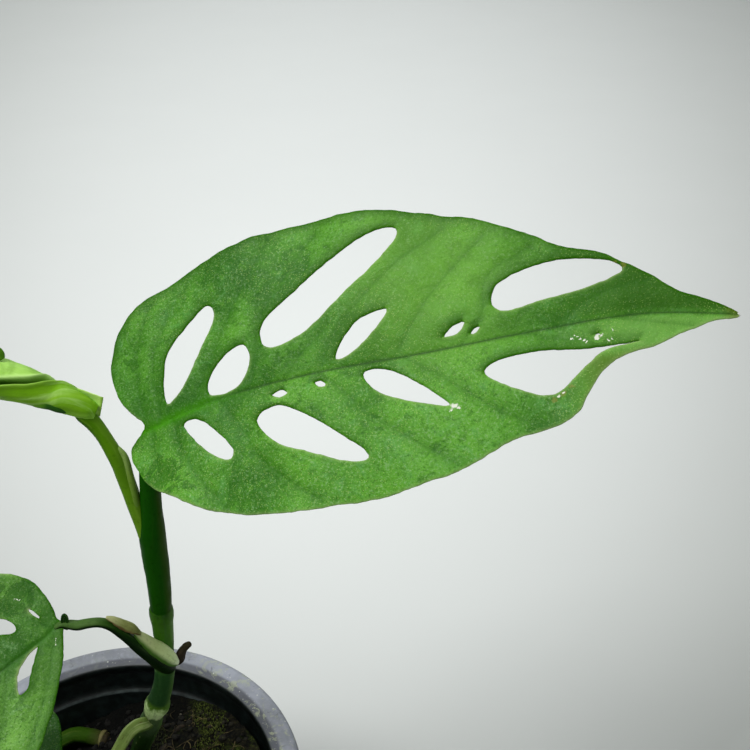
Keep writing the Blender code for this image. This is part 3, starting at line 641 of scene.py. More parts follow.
def spine(knots):
    """Curve through the knots: its points, centres, headings and the length run so far in mm."""
    line = through(knots, STEM_STEPS)
    centres = [Vector(p[:3]) * MM for p in line]
    last = len(line) - 1
    runs = [(centres[min(i + 1, last)] - centres[max(i - 1, 0)]).normalized()
            for i in range(last + 1)]
    reached = [0.0]
    for a, b in zip(centres, centres[1:]):
        reached.append(reached[-1] + (b - a).length / MM)
    return line, centres, runs, reached


def across(run, wide):
    """Two directions square to the run, the first as near wide as it can be."""
    side = Vector(wide)
    side = (side - run * side.dot(run)).normalized()
    return side, run.cross(side)


def strip_faces(last, count):
    """Faces of a closed strip: last + 1 rows, each with count points on top and count below."""
    ring = 2 * count
    order = list(range(count)) + list(range(ring - 1, count - 1, -1))
    faces = []
    for i in range(last):
        for k in range(ring):
            a, b = order[k], order[(k + 1) % ring]
            faces.append((i * ring + a, i * ring + b, (i + 1) * ring + b, (i + 1) * ring + a))
    for start in (0, last * ring):
        faces += [(start + k, start + k + 1, start + count + k + 1, start + count + k)
                  for k in range(count - 1)]
    return faces


def stem(name, knots, mat, node, sides=28, wide=(0, 0, 1), channel=0.0, rough=0.05, seed=1.0,
         ridge=0.0):
    """Round stem with rounded ends. channel sinks the side toward wide, and ridge flutes it."""
    line, centres, runs, reached = spine(knots)
    last = len(line) - 1
    verts, skin, along = [], [], []
    for i, (p, centre, run) in enumerate(zip(line, centres, runs)):
        side, other = across(run, wide)
        end = min(reached[i], reached[last] - reached[i]) / max(p[3] * CONE, 1e-6)
        radius = p[3] * math.sqrt(1 - (1 - min(end, 1.0)) ** 2) if end < 1 else p[3]
        radius = max(radius, p[3] * 0.3)
        for k in range(sides):
            a = 2 * math.pi * k / sides
            r = radius * (1 - channel * max(0.0, math.cos(a)) ** 3)
            r *= 1 + ridge * math.cos(7 * a)
            spot = Vector((math.cos(a) * 0.9, math.sin(a) * 0.9, reached[i] / 5 + seed))
            r += rough * radius * noise.noise(spot) + rough * 0.4 * radius * noise.noise(spot * 4)
            verts.append(centre + side * (math.cos(a) * r * MM) + other * (math.sin(a) * r * MM))
            skin.append((math.cos(a) * radius * MM, math.sin(a) * radius * MM, reached[i] * MM))
            along.append(reached[i] / reached[last])
    faces = []
    for i in range(last):
        for k in range(sides):
            m = (k + 1) % sides
            faces.append((i * sides + k, i * sides + m, (i + 1) * sides + m, (i + 1) * sides + k))
    for start, centre, t in ((0, centres[0], 0.0), (last * sides, centres[-1], 1.0)):
        hub = len(verts)
        verts.append(centre)
        skin.append((0, 0, t * reached[last] * MM))
        along.append(t)
        faces += [(start + k, start + (k + 1) % sides, hub) for k in range(sides)]
    return make(name, verts, faces, mat, node, {"skin": skin, "along": along})


def wrap(name, knots, mat, node, arc, wide, thick, ragged=0.0, curl=0.0):
    """Thin shell round part of a stem: arc is its first and last angle from wide, in degrees."""
    line, centres, runs, reached = spine(knots)
    last, count = len(line) - 1, 16
    verts, skin, along, place = [], [], [], []
    for i, (p, centre, run) in enumerate(zip(line, centres, runs)):
        side, other = across(run, wide)
        taper = math.sqrt(max(0.02, math.sin(math.pi * min(1, max(0, 0.06 + 0.88 * i / last)))))
        middle, spread = sum(arc) / 2, (arc[1] - arc[0]) / 2 * taper
        for layer in (1, -1):
            for k in range(count):
                s = 2 * k / (count - 1) - 1
                frill = ragged * noise.noise(Vector((reached[i] / 1.5, s * 3, 4.0))) * abs(s)
                a = math.radians(middle + spread * s * (1 + frill))
                r = p[3] + curl * abs(s) ** 3 + layer * thick / 2 * (1.05 - s * s)
                r += 0.08 * noise.noise(Vector((reached[i] / 2, s * 2, 1.0)))
                verts.append(centre + (side * math.cos(a) + other * math.sin(a)) * (r * MM))
                skin.append((math.cos(a) * r * MM, math.sin(a) * r * MM, reached[i] * MM))
                along.append(reached[i] / reached[last])
                place.append((s + 1) / 2)
    return make(name, verts, strip_faces(last, count), mat, node,
                {"skin": skin, "along": along, "across": place})


def stem_look(name, ramp, streak, flecks=None, gloss=0.42, marks=0.35, bump=0.25, below=None,
              right=None, across=None, specular=0.06):
    """ramp: colours along the stem. below, right, across: (from, to, amount, tone) by the normal's
    Z, by its X, and by the place across a wrapped strip. below is painted shade on the undersides;
    right is painted light on the side facing +X, and an olive brown edge on the large leaf's stalk."""
    g = Look(name, specular=specular)
    skin = g.attribute("skin", vector=True)
    along = g.attribute("along")
    lines = g.noise(g.scaled(skin, (1, 1, 0.10)), 900, 4, 0.6)
    cloud = g.noise(skin, 170, 4, 0.6, 0.4)
    specks = g.noise(skin, 800, 4, 0.65)
    colour = g.ramp(g.maths("ADD", along, g.span(cloud, 0.2, 0.8, -0.02, 0.02)), *ramp)
    colour = g.tints(colour, (lines, 0.48, 0.72, marks, streak), (cloud, 0.55, 0.8, marks, streak))
    colour = g.tints(colour, (specks, 0.46, 0.34, 0.35, g.mix(0.55, colour, (0, 0, 0))))
    if across:
        colour = g.tints(colour, (g.attribute("across"), *across))
    # painted light on the side facing +X; on the large leaf's stalk an olive brown edge instead
    if right:
        colour = g.tints(colour, (g.facing(0), *right))
    # painted shade where the surface faces down
    if below:
        colour = g.tints(colour, (g.facing(2), *below))
    if flecks:
        cell = g.cells(g.scaled(skin, (1, 1, 0.4)), 900)
        keep = g.part(g.cells(g.scaled(skin, (1, 1, 0.4)), 900, output="Color"), 1)
        colour = g.mix(g.times(g.span(cell, 0.30, 0.12), g.span(keep, 0.72, 0.85, 0, 0.8)),
                       colour, flecks)
    relief = g.bump(lines, bump, 0.0005)
    relief = g.bump(specks, bump * 0.6, 0.0003, relief)
    rough = g.span(cloud, 0.3, 0.7, gloss - 0.06, gloss + 0.12)
    return g.finish(colour, rough, relief)


STEMS = {
    "vine_stem": [
        (1.0, 19.0, 70, 3.2), (4.0, 17.5, 86, 3.3), (8.2, 15.6, 101, 3.1), (12.2, 13.4, 112.5, 3.4),
        (13.7, 12.6, 116.8, 3.6), (14.8, 12.2, 119.8, 3.35), (15.8, 11.8, 122.8, 3.35),
        (16.7, 11.5, 125.2, 3.75), (17.3, 11.3, 126.8, 3.8), (17.8, 11.1, 128.4, 3.4),
        (19.0, 10.6, 132.2, 3.1), (20.9, 9.6, 139.5, 2.9), (22.4, 8.4, 147.5, 3.1),
        (22.9, 7.8, 152.5, 2.7), (23.6, 7.0, 160, 2.8), (24.0, 6.5, 166.6, 3.1),
        (24.2, 6.2, 170.0, 3.45), (24.3, 6.0, 173.2, 3.1)],
    "large_leaf_petiole": [
        (24.25, 6.1, 168, 2.7), (24.5, 5.9, 174, 3.0), (25.2, 5.0, 185.5, 3.3), (25.5, 4.2, 197, 3.5),
        (26.0, 3.6, 203, 3.4), (26.7, 3.0, 210, 2.8), (27.7, 2.4, 221, 2.6), (28.4, 2.0, 229, 2.4),
        (29.4, 1.2, 234.2, 2.0), (31.0, 0.4, 236.8, 1.3)],
    "new_leaf_petiole": [
        (25.6, 4.2, 193, 1.6), (24.6, 3.6, 199, 2.1), (23.7, 3.3, 205, 2.0), (22.5, 3.1, 213, 2.1),
        (21.5, 2.9, 220, 2.1), (20.2, 2.4, 227, 2.0), (18.2, 2.1, 233.5, 1.8),
        (16.3, 2.1, 237.4, 2.0), (14.4, 2.2, 240.0, 2.15), (13.0, 2.4, 241.4, 1.7)],
    "left_leaf_petiole": [
        (24.4, 6.0, 148.5, 2.2), (23.2, 3.8, 152.5, 2.6), (21.2, 1.2, 158.5, 2.3),
        (18.6, -0.9, 164.8, 2.0), (16.0, -2.2, 170.3, 1.75), (13.1, -3.0, 174.6, 1.55),
        (10.2, -3.5, 176.4, 1.4), (7.1, -4.0, 176.6, 1.4), (4.4, -4.3, 176.2, 1.45),
        (2.2, -4.4, 176.6, 1.35), (0.2, -4.8, 177.0, 1.0), (-1.6, -5.4, 176.2, 0.8)],
    "low_leaf_petiole": [
        (14.2, 11.0, 118.2, 1.9), (13.0, 7.6, 121.4, 2.1), (11.4, 5.4, 123.0, 2.1),
        (9.4, 3.6, 122.4, 2.0), (7.6, 1.8, 120.3, 1.9), (5.6, -0.2, 117.4, 1.8),
        (3.2, -2.2, 114.2, 1.7), (-0.4, -3.6, 111.6, 1.6), (-4.6, -4.4, 110.6, 1.4),
        (-8.0, -5.0, 110.8, 1.1)],
    "aerial_root_nub": [
        (23.8, 8.0, 148.0, 1.2), (26.4, 7.9, 149.4, 1.5), (27.6, 7.4, 152.2, 1.5),
        (28.6, 6.8, 154.8, 1.2), (30.0, 6.3, 157.0, 1.0), (31.0, 6.0, 158.0, 0.8)],
    "old_stem_stub": [
        (-30.0, 32.6, 77.0, 2.6), (-26.6, 35.4, 77.6, 2.9), (-22.5, 37.6, 77.8, 3.0),
        (-17.5, 38.0, 76.8, 2.9), (-13.8, 37.6, 75.7, 3.0), (-13.0, 37.5, 75.6, 3.5),
        (-12.2, 37.3, 75.5, 3.1), (-10.4, 37.0, 75.4, 2.6)],
    "old_stub_root": [
        (-11.4, 37.0, 75.6, 1.7), (-8.4, 36.6, 76.0, 1.5), (-6.0, 36.4, 77.6, 1.1),
        (-3.6, 36.0, 79.6, 0.6)],
}


def build_stems():
    """The vine, its leaf stalks, the sheaths, the aerial root and the old stub."""
    dark = srgb(4, 26, 0)
    # painted light on the vine's side facing +X
    stem("vine_stem_skin", STEMS["vine_stem"], stem_look(
        "stem_green",
        ((0.0, srgb(30, 44, 18)), (0.28, srgb(24, 44, 10)), (0.40, srgb(34, 60, 20)),
         (0.45, srgb(66, 88, 54)), (0.512, srgb(78, 102, 60)), (0.524, srgb(200, 222, 158)),
         (0.548, srgb(206, 232, 160)), (0.562, srgb(78, 114, 30)), (0.585, srgb(38, 72, 34)),
         (0.74, srgb(40, 78, 36)), (0.79, srgb(66, 116, 36)), (0.90, srgb(62, 112, 24)),
         (0.96, srgb(58, 104, 20)), (1.0, srgb(26, 64, 6))), srgb(60, 98, 52),
        flecks=srgb(120, 140, 90), right=(0.5, 1.0, 0.5, srgb(96, 132, 60))), "vine_stem", rough=0.04)
    stem("large_petiole_skin", STEMS["large_leaf_petiole"], stem_look(
        "sheath_green", ((0.0, srgb(34, 78, 8)), (0.06, srgb(20, 70, 0)), (0.2, srgb(20, 76, 0)),
                         (0.5, srgb(16, 74, 0)), (0.8, srgb(18, 78, 0)), (1.0, srgb(60, 126, 8))),
        srgb(36, 84, 10), right=(0.45, 0.95, 0.7, srgb(50, 72, 10)), marks=0.28,
        specular=0.03),
        "large_leaf_petiole", rough=0.03, seed=4.0)
    # painted light on the side facing +X and painted shade underneath
    stem("new_petiole_skin", STEMS["new_leaf_petiole"], stem_look(
        "young_green", ((0.0, srgb(120, 156, 66)), (0.15, srgb(108, 152, 30)),
                        (0.5, srgb(100, 150, 16)), (0.85, srgb(92, 146, 8)), (1.0, srgb(56, 104, 0))),
        srgb(130, 174, 50), marks=0.5, right=(0.3, 0.9, 0.6, srgb(116, 158, 44)),
        below=(0.1, -0.5, 0.6, srgb(48, 92, 4))), "new_leaf_petiole", seed=7.0, rough=0.03)
    stem("petiole_margin", [(21.0, 2.2, 230.4, 0.5), (22.4, 2.1, 227.4, 0.85), (22.9, 2.0, 222.0, 1.0),
                            (23.1, 2.0, 217.5, 1.0), (23.2, 2.1, 213.3, 1.0), (23.2, 2.4, 209.0, 0.9),
                            (23.4, 2.8, 203.5, 0.7)],
         stem_look("margin_green", ((0.0, srgb(150, 182, 96)), (0.3, srgb(128, 164, 60)),
                                    (1.0, srgb(96, 138, 44))), srgb(160, 190, 104), marks=0.5),
         "new_leaf_petiole", sides=16, seed=30.0, rough=0.05)
    # painted shade, nearly black, where the stalk faces down
    stem("left_petiole_skin", STEMS["left_leaf_petiole"], stem_look(
        "petiole_green", ((0.0, srgb(44, 84, 12)), (0.3, srgb(24, 58, 4)), (0.55, srgb(14, 48, 2)),
                          (0.68, srgb(34, 66, 12)), (0.8, srgb(66, 98, 40)), (1.0, srgb(72, 104, 48))),
        srgb(96, 124, 70), below=(0.45, -0.1, 0.95, dark)), "left_leaf_petiole",
        channel=0.30, seed=9.0, rough=0.03, wide=(0.1, 0.05, 1))
    # painted shade where the stalk faces down
    pale = stem_look("low_petiole_green", ((0.0, srgb(96, 120, 58)), (0.4, srgb(140, 164, 84)),
                                           (1.0, srgb(112, 134, 58))), srgb(182, 198, 134),
                     flecks=srgb(96, 74, 40), marks=0.6, below=(0.3, -0.5, 0.8, srgb(60, 92, 22)))
    stem("low_petiole_skin", STEMS["low_leaf_petiole"], pale, "low_leaf_petiole", channel=0.5,
         seed=12.0, wide=(0.35, -0.45, 0.8), sides=48, ridge=0.03)
    bark = stem_look("root_bark", ((0.0, srgb(30, 26, 20)), (0.6, srgb(58, 50, 38)),
                                   (1.0, srgb(50, 46, 30))), srgb(88, 70, 56), gloss=0.75,
                     bump=0.8, marks=0.6)
    stem("root_nub", STEMS["aerial_root_nub"], bark, "aerial_root_nub", sides=20, rough=0.16,
         seed=15.0)
    # painted shade, nearly black, where the stub faces down
    old = stem_look("old_green", ((0.0, srgb(38, 70, 8)), (0.6, srgb(44, 74, 10)),
                                  (0.80, srgb(56, 62, 26)), (0.87, srgb(104, 98, 62)),
                                  (0.91, srgb(52, 46, 30)), (1.0, srgb(38, 32, 22))),
                    srgb(96, 110, 44), gloss=0.6, bump=0.5, below=(0.55, -0.1, 0.95, srgb(2, 6, 0)))
    stem("old_stub", STEMS["old_stem_stub"], old, "old_stem_stub", rough=0.08, seed=18.0)
    stem("stub_root", STEMS["old_stub_root"], bark, "old_stub_root", rough=0.2, seed=21.0)

    sheath = stem_look("pale_sheath", ((0.0, srgb(236, 250, 206)), (0.28, srgb(216, 236, 168)),
                                       (0.6, srgb(186, 204, 136)), (1.0, srgb(190, 196, 144))),
                       srgb(146, 178, 92), gloss=0.5, marks=0.5,
                       across=(0.30, 0.08, 0.95, srgb(52, 98, 12)))
    wrap("sheath_wing", [(25.2, 5.0, 151.2, 2.2), (24.2, 4.0, 154.0, 2.8), (22.6, 2.5, 158.2, 2.9),
                         (20.8, 1.0, 162.2, 2.6), (18.8, -0.2, 166.2, 2.25), (16.8, -1.1, 169.6, 1.9)],
         sheath, "left_petiole_sheath", (-72, 74), (0.75, -0.2, 0.6), thick=0.5, ragged=0.06)
    dry = stem_look("dry_sheath", ((0.0, srgb(134, 142, 82)), (0.6, srgb(136, 144, 84)),
                                   (1.0, srgb(176, 178, 128))), srgb(96, 100, 48), gloss=0.7,
                    marks=0.5, bump=0.6, across=(0.22, 0.04, 0.9, srgb(88, 66, 38)))
    wrap("dry_flap", [(18.8, -0.8, 168.8, 1.0), (17.2, -1.4, 171.2, 1.7), (15.2, -2.0, 173.4, 1.6),
                      (13.2, -2.6, 175.6, 1.3), (11.4, -3.0, 177.2, 0.7)],
         dry, "dried_sheath_flap", (-70, 62), (0.25, -0.1, 0.95), thick=0.4, ragged=0.2, curl=0.3)


# ================================================================ furled leaf

NEW_LEAF = dict(
    # x, y, z, outer radius, and the angle of the free edge and of the crease above it: 0 is
    # toward the front, 90 is up
    knots=[
        (17.3, 2.2, 240.6, 1.75, 165, 195), (16.2, 2.2, 241.1, 2.35, 155, 185),
        (14.9, 2.2, 241.7, 2.75, 145, 175), (11.6, 2.5, 243.5, 3.4, 115, 146),
        (9.0, 2.7, 244.5, 3.5, 92, 124), (7.2, 2.8, 245.2, 3.5, 64, 106),
        (4.9, 3.0, 246.2, 4.1, 30, 82), (2.9, 3.2, 247.0, 4.4, 10, 46),
        (0.6, 3.4, 247.8, 4.7, -2, 22), (-2.8, 3.8, 248.7, 5.0, -16, 4),
        (-6.0, 4.2, 249.4, 5.1, -24, -6), (-14.0, 5.0, 250.8, 4.9, -30, -12),
        (-25.0, 6.0, 252.8, 4.2, -26, -6), (-36.0, 6.8, 255.2, 2.9, -10, 12),
        (-45.0, 7.2, 257.7, 1.5, 10, 36), (-50.0, 7.4, 259.2, 0.9, 20, 48)],
    facing=(0, -0.8, 0.6))


def furled_leaf(mat):
    """Blade rolled into a loose tube. Its free edge lies over the front, and above that the
    sheet folds sharply back under it."""
    count, thick = 110, 0.42
    line, centres, runs, reached = spine(NEW_LEAF["knots"])
    last = len(line) - 1
    verts, skin = [], []
    turn, under, lip, crease = [], [], [], []
    for i, (p, centre, run) in enumerate(zip(line, centres, runs)):
        front, up = across(run, NEW_LEAF["facing"])
        up = -up if up.z < 0 else up
        radius, gap = p[3], max(p[5] - p[4], 8)
        fold = 360 - gap
        whole = fold + 75
        for layer in (1, -1):
            for k in range(count):
                s = k / (count - 1)
                angle = whole * s
                past = min(1.0, max(0.0, (angle - fold) / 26))
                r = radius - thick / 2 - 0.10 * radius * angle / 360
                r -= (0.30 * radius + 0.15) * past * past * (3 - 2 * past)
                r += 0.16 * radius * math.exp(-(angle / 13) ** 2) * min(1, radius / 4)
                r += 0.09 * radius * math.exp(-((angle - fold) / 9) ** 2)
                ripple = noise.noise(Vector((angle / 46, reached[i] / 7, 2.0)))
                ripple += 0.6 * noise.noise(Vector((angle / 24, reached[i] / 16, 7.0)))
                r += 0.055 * radius * ripple + layer * thick / 2
                a = math.radians(p[4] - angle)
                verts.append(centre + (front * math.cos(a) + up * math.sin(a)) * (r * MM))
                turn.append(angle / 360)
                under.append(past)
                lip.append(math.exp(-(angle / 5.0) ** 2))
                crease.append(math.exp(-((angle - fold) / 7.0) ** 2))
                skin.append((math.radians(angle) * radius * MM, layer * MM, reached[i] * MM))
    return make("furled_blade", verts, strip_faces(last, count), mat, "new_leaf_blade", {
        "turn": turn, "under": under, "lip": lip, "crease": crease, "skin": skin})


def furled_look():
    """Yellow-green, with painted light and shade going by the turn of the roll: paler where it faces up, a
    painted shadow where the sheet tucks under and a painted highlight on the crease.
    """
    g = Look("new_leaf_green", specular=0.12)
    skin = g.attribute("skin", vector=True)
    streaks = g.noise(g.scaled(skin, (1, 1, 0.14)), 520, 4, 0.6)
    cloud = g.noise(skin, 110, 4, 0.6, 0.6)
    turn = g.attribute("turn")
    # painted light and shade by the turn of the roll, paler where it faces up
    colour = g.ramp(turn, (0.0, srgb(118, 172, 16)), (0.06, srgb(110, 166, 14)),
                    (0.16, srgb(124, 180, 26)), (0.23, srgb(152, 206, 54)), (0.30, srgb(126, 182, 30)),
                    (0.45, srgb(108, 162, 18)), (0.60, srgb(160, 216, 76)), (0.72, srgb(172, 224, 104)),
                    (0.95, srgb(164, 216, 92)))
    colour = g.tints(colour, (streaks, 0.47, 0.70, 0.45, srgb(198, 240, 140)),
                     (cloud, 0.55, 0.40, 0.40, srgb(94, 150, 14)))
    # painted highlight on the crease
    colour = g.mix(g.times(g.attribute("crease"), 0.7), colour, srgb(204, 244, 150))
    # painted shadow where the sheet tucks under the free edge
    colour = g.mix(g.times(g.span(g.attribute("under"), 0.15, 0.8), 0.85), colour, srgb(66, 120, 2))
    colour = g.mix(g.times(g.attribute("lip"), 0.7), colour, srgb(168, 216, 92))
    relief = g.bump(streaks, 0.35, 0.0006)
    relief = g.bump(g.noise(skin, 900, 3), 0.2, 0.0003, relief)
    return g.finish(colour, g.span(cloud, 0.3, 0.7, 0.36, 0.50), relief)


def flap(name, corners, mat, node, bulge):
    """Thin curved patch between four corners, in millimetres."""
    thick, count = 0.4, 16
    a, b, c, d = (Vector(p) for p in corners)
    out = (c - a).cross(d - b).normalized()
    verts, skin, along, place = [], [], [], []
    for layer in (0.5, -0.5):
        for j in range(count):
            for i in range(count):
                s, t = i / (count - 1), j / (count - 1)
                p = (a * (1 - s) + b * s) * (1 - t) + (d * (1 - s) + c * s) * t
                full = 16 * s * (1 - s) * t * (1 - t)
                p = p + out * (bulge * full + layer * thick * (0.35 + 0.65 * min(1, 3 * full)))
                p += Vector((0, 0, 1)) * 0.12 * noise.noise(p * 0.9)
                verts.append(p * MM)
                skin.append((p.x * MM, p.y * MM, p.z * MM))
                along.append(s)
                place.append(t)
    n = count * count
    grid = [(j * count + i, j * count + i + 1, (j + 1) * count + i + 1, (j + 1) * count + i)
            for j in range(count - 1) for i in range(count - 1)]
    faces = grid + [tuple(n + k for k in f[::-1]) for f in grid]
    rim = list(range(count)) + [j * count + count - 1 for j in range(1, count)]
    rim += [(count - 1) * count + i for i in range(count - 2, -1, -1)]
    rim += [j * count for j in range(count - 2, 0, -1)]
    for p, q in zip(rim, rim[1:] + rim[:1]):
        faces.append((p, n + p, n + q, q))
    return make(name, verts, faces, mat, node, {"skin": skin, "along": along, "across": place})


def furled_extras():
    """The lobe, fold and curl that show beside the roll."""
    lobe = stem_look("young_lobe", ((0.0, srgb(176, 226, 96)), (0.5, srgb(206, 246, 132)),
                                    (0.86, srgb(190, 236, 112)), (1.0, srgb(120, 172, 26))),
                     srgb(226, 252, 170), marks=0.4, specular=0.25)
    flap("basal_lobe", [(13.4, 3.6, 246.6), (19.3, 3.2, 244.2), (17.9, 2.6, 239.2), (14.2, 3.0, 240.6)],
         lobe, "new_leaf_blade", 0.7)
    fold = stem_look("young_fold", ((0.0, srgb(112, 166, 26)), (0.35, srgb(90, 146, 14)),
                                    (0.5, srgb(34, 86, 2)), (1.0, srgb(30, 80, 2))),
                     srgb(60, 118, 8), marks=0.3, specular=0.2)
    wrap("lower_fold", [(2.2, 1.4, 245.0, 1.0), (4.4, 1.0, 244.5, 1.3), (7.4, 0.7, 244.0, 1.3),
                        (9.6, 0.6, 243.1, 1.2), (11.6, 0.8, 242.2, 0.7)], fold, "new_leaf_blade",
         (-60, 150), (0, -0.95, 0.1), thick=0.35)
    curl = stem_look("young_curl", ((0.0, srgb(80, 134, 10)), (1.0, srgb(58, 106, 2))),
                     srgb(110, 160, 40), marks=0.3, specular=0.2)
    wrap("upper_curl", [(-3.6, 5.2, 253.8, 1.1), (-4.4, 5.4, 255.2, 1.3), (-6.4, 5.6, 255.6, 1.5),
                        (-10.0, 5.8, 255.0, 1.5), (-14.0, 6.0, 254.0, 1.0)], curl, "new_leaf_blade",
         (-110, 110), (0, -0.7, 0.7), thick=0.4)
    # painted light on the curl's side facing +X
    joint = stem_look("base_curl", ((0.0, srgb(26, 66, 10)), (0.4, srgb(14, 46, 4)),
                                    (1.0, srgb(30, 70, 14))), srgb(70, 110, 50), marks=0.3,
                      right=(0.3, 0.9, 0.5, srgb(84, 120, 60)))
    stem("leaf_base_curl", [(0.1, -4.7, 174.8, 0.4), (0.6, -4.6, 177.8, 0.45), (0.9, -4.5, 179.4, 0.45),
                            (1.4, -4.5, 180.1, 0.45), (1.9, -4.5, 179.4, 0.45), (1.85, -4.5, 177.6, 0.45),
                            (1.6, -4.6, 176.0, 0.45), (1.3, -4.7, 175.0, 0.4)], joint,
         "left_leaf_blade", sides=14, rough=0.08, seed=31.0, wide=(0, 1, 0))
    stem("leaf_base_fill", [(1.0, -4.2, 174.8, 0.6), (1.1, -4.2, 176.8, 0.8), (1.25, -4.2, 178.8, 0.5)],
         joint, "left_leaf_blade", sides=14, rough=0.08, seed=33.0, wide=(0, 1, 0))


# ================================================================ pot and soil

# the pot's sizes as in its CAD node: outer height and radii, then thicknesses and the inner step
POT_HEIGHT, RIM, MOUTH, FOOT = 0.098, 0.0615, 0.0524, 0.044
WALL, FLOOR, FLANGE, STEP, STEP_IN = 0.0018, 0.0022, 0.0026, 0.012, 0.0022
FLOOR_EDGE = 0.036             # radius where the turned wall meets the flat floor
DRAINS, DRAIN_RING, DRAIN_RADIUS, DRAIN_TURN = 8, 0.029, 0.004, 0.44
WELD = 0.00002                 # points closer than this become one


def circle(centre, radius, count):
    """Points round a circle, as pairs."""
    return [(centre[0] + radius * math.cos(a), centre[1] + radius * math.sin(a))
            for a in (2 * math.pi * k / count for k in range(count))]


def turned(profile, turns):
    """Points of a profile of (radius, height) turned round the Z axis, one profile after another."""
    return [(r * math.cos(a), r * math.sin(a), z)
            for a in (2 * math.pi * i / turns for i in range(turns)) for r, z in profile]


def wall_radius(z):
    """Outer radius of the pot's wall."""
    return FOOT + (MOUTH + WALL - FOOT) * z / POT_HEIGHT


def inner_radius(z):
    """Inner radius of the pot's wall, up to its step."""
    low, high, step = wall_radius(FLOOR) - WALL, MOUTH - STEP_IN, POT_HEIGHT - STEP
    return low + (high - low) * min(z - FLOOR, step - FLOOR) / (step - FLOOR)


def build_pot(mat):
    """Wall and rim turned round the axis, closed by a floor with drain holes."""
    top = POT_HEIGHT
    step, under = top - STEP, top - FLANGE
    lip = top - 0.010
    profile = [
        (FLOOR_EDGE, 0), (FOOT - 0.0012, 0), (FOOT - 0.0004, 0.0003), (wall_radius(0.001), 0.001),
        (wall_radius(0.03), 0.03), (wall_radius(0.06), 0.06), (wall_radius(lip), lip),
        (wall_radius(under - 0.0006), under - 0.0006), (wall_radius(under) + 0.0006, under),
        (RIM - 0.0024, under), (RIM - 0.0018, under - 0.0006), (RIM - 0.0018, lip + 0.0004),
        (RIM - 0.0014, lip), (RIM - 0.0004, lip), (RIM, lip + 0.0005), (RIM + 0.0001, top - 0.0052),
        (RIM, top - 0.0018), (RIM - 0.0002, top - 0.0010), (RIM - 0.0007, top - 0.0004),
        (RIM - 0.0014, top - 0.00005), (RIM - 0.0022, top), (RIM - 0.0026, top - 0.00025),
        (RIM - 0.0036, top - 0.00035), (MOUTH + 0.0020, top - 0.0007), (MOUTH + 0.0009, top - 0.0008),
        (MOUTH + 0.0003, top - 0.0011), (MOUTH, top - 0.0017), (MOUTH + 0.0001, top - 0.0036),
        (MOUTH + 0.0004, top - 0.0041), (MOUTH + 0.0002, top - 0.0050), (MOUTH - 0.0004, step + 0.0030),
        (MOUTH - 0.0008, step + 0.0014), (MOUTH - 0.0013, step + 0.0006),
        (MOUTH - STEP_IN + 0.0002, step + 0.0001), (MOUTH - STEP_IN, step - 0.0004),
        (inner_radius(0.05), 0.05),
        (inner_radius(FLOOR) - 0.0002, FLOOR + 0.0012), (inner_radius(FLOOR) - 0.0014, FLOOR),
        (FLOOR_EDGE, FLOOR)]
    turns = 200
    verts = turned(profile, turns)
    n = len(profile)
    faces = [(i * n + k, ((i + 1) % turns) * n + k, ((i + 1) % turns) * n + k + 1, i * n + k + 1)
             for i in range(turns) for k in range(n - 1)]
    # floor with its ring of drain holes, sharing the wall's two inner circles
    drains = [(DRAIN_RING * math.cos(a), DRAIN_RING * math.sin(a))
              for a in (2 * math.pi * (i + DRAIN_TURN) / DRAINS for i in range(DRAINS))]
    points, edges = [], []
    for loop in (circle((0, 0), FLOOR_EDGE, turns), *(circle(d, DRAIN_RADIUS, 20) for d in drains)):
        start = len(points)
        points += [Vector(p) * 1000 for p in loop]
        edges += [(start + k, start + (k + 1) % len(loop)) for k in range(len(loop))]
    points.append(Vector((0, 0)))
    flat, _, tris, *_ = delaunay_2d_cdt(points, edges, [], 0, 1e-4)
    kept = []
    for t in tris:
        middle = sum((flat[k] for k in t), Vector((0, 0))) / 3 / 1000
        if all((middle - Vector(d)).length > DRAIN_RADIUS for d in drains):
            kept.append(t)
    base = len(verts)
    for z in (0.0, FLOOR):
        verts += [(p.x / 1000, p.y / 1000, z) for p in flat]
    m = len(flat)
    faces += [tuple(base + k for k in t[::-1]) for t in kept]
    faces += [tuple(base + m + k for k in t) for t in kept]
    directed = {(a, b) for t in kept for a, b in zip(t, (*t[1:], t[0]))}
    for a, b in directed:
        if (b, a) not in directed and flat[a].length < FLOOR_EDGE * 1000 - 1:
            faces.append((base + a, base + b, base + m + b, base + m + a))
    piece = make("pot_shell", verts, faces, mat)
    work = bmesh.new()
    work.from_mesh(piece.data)
    bmesh.ops.remove_doubles(work, verts=work.verts, dist=WELD)
    bmesh.ops.recalc_face_normals(work, faces=work.faces)
    work.to_mesh(piece.data)
    work.free()
    attach(piece, "nursery_pot")


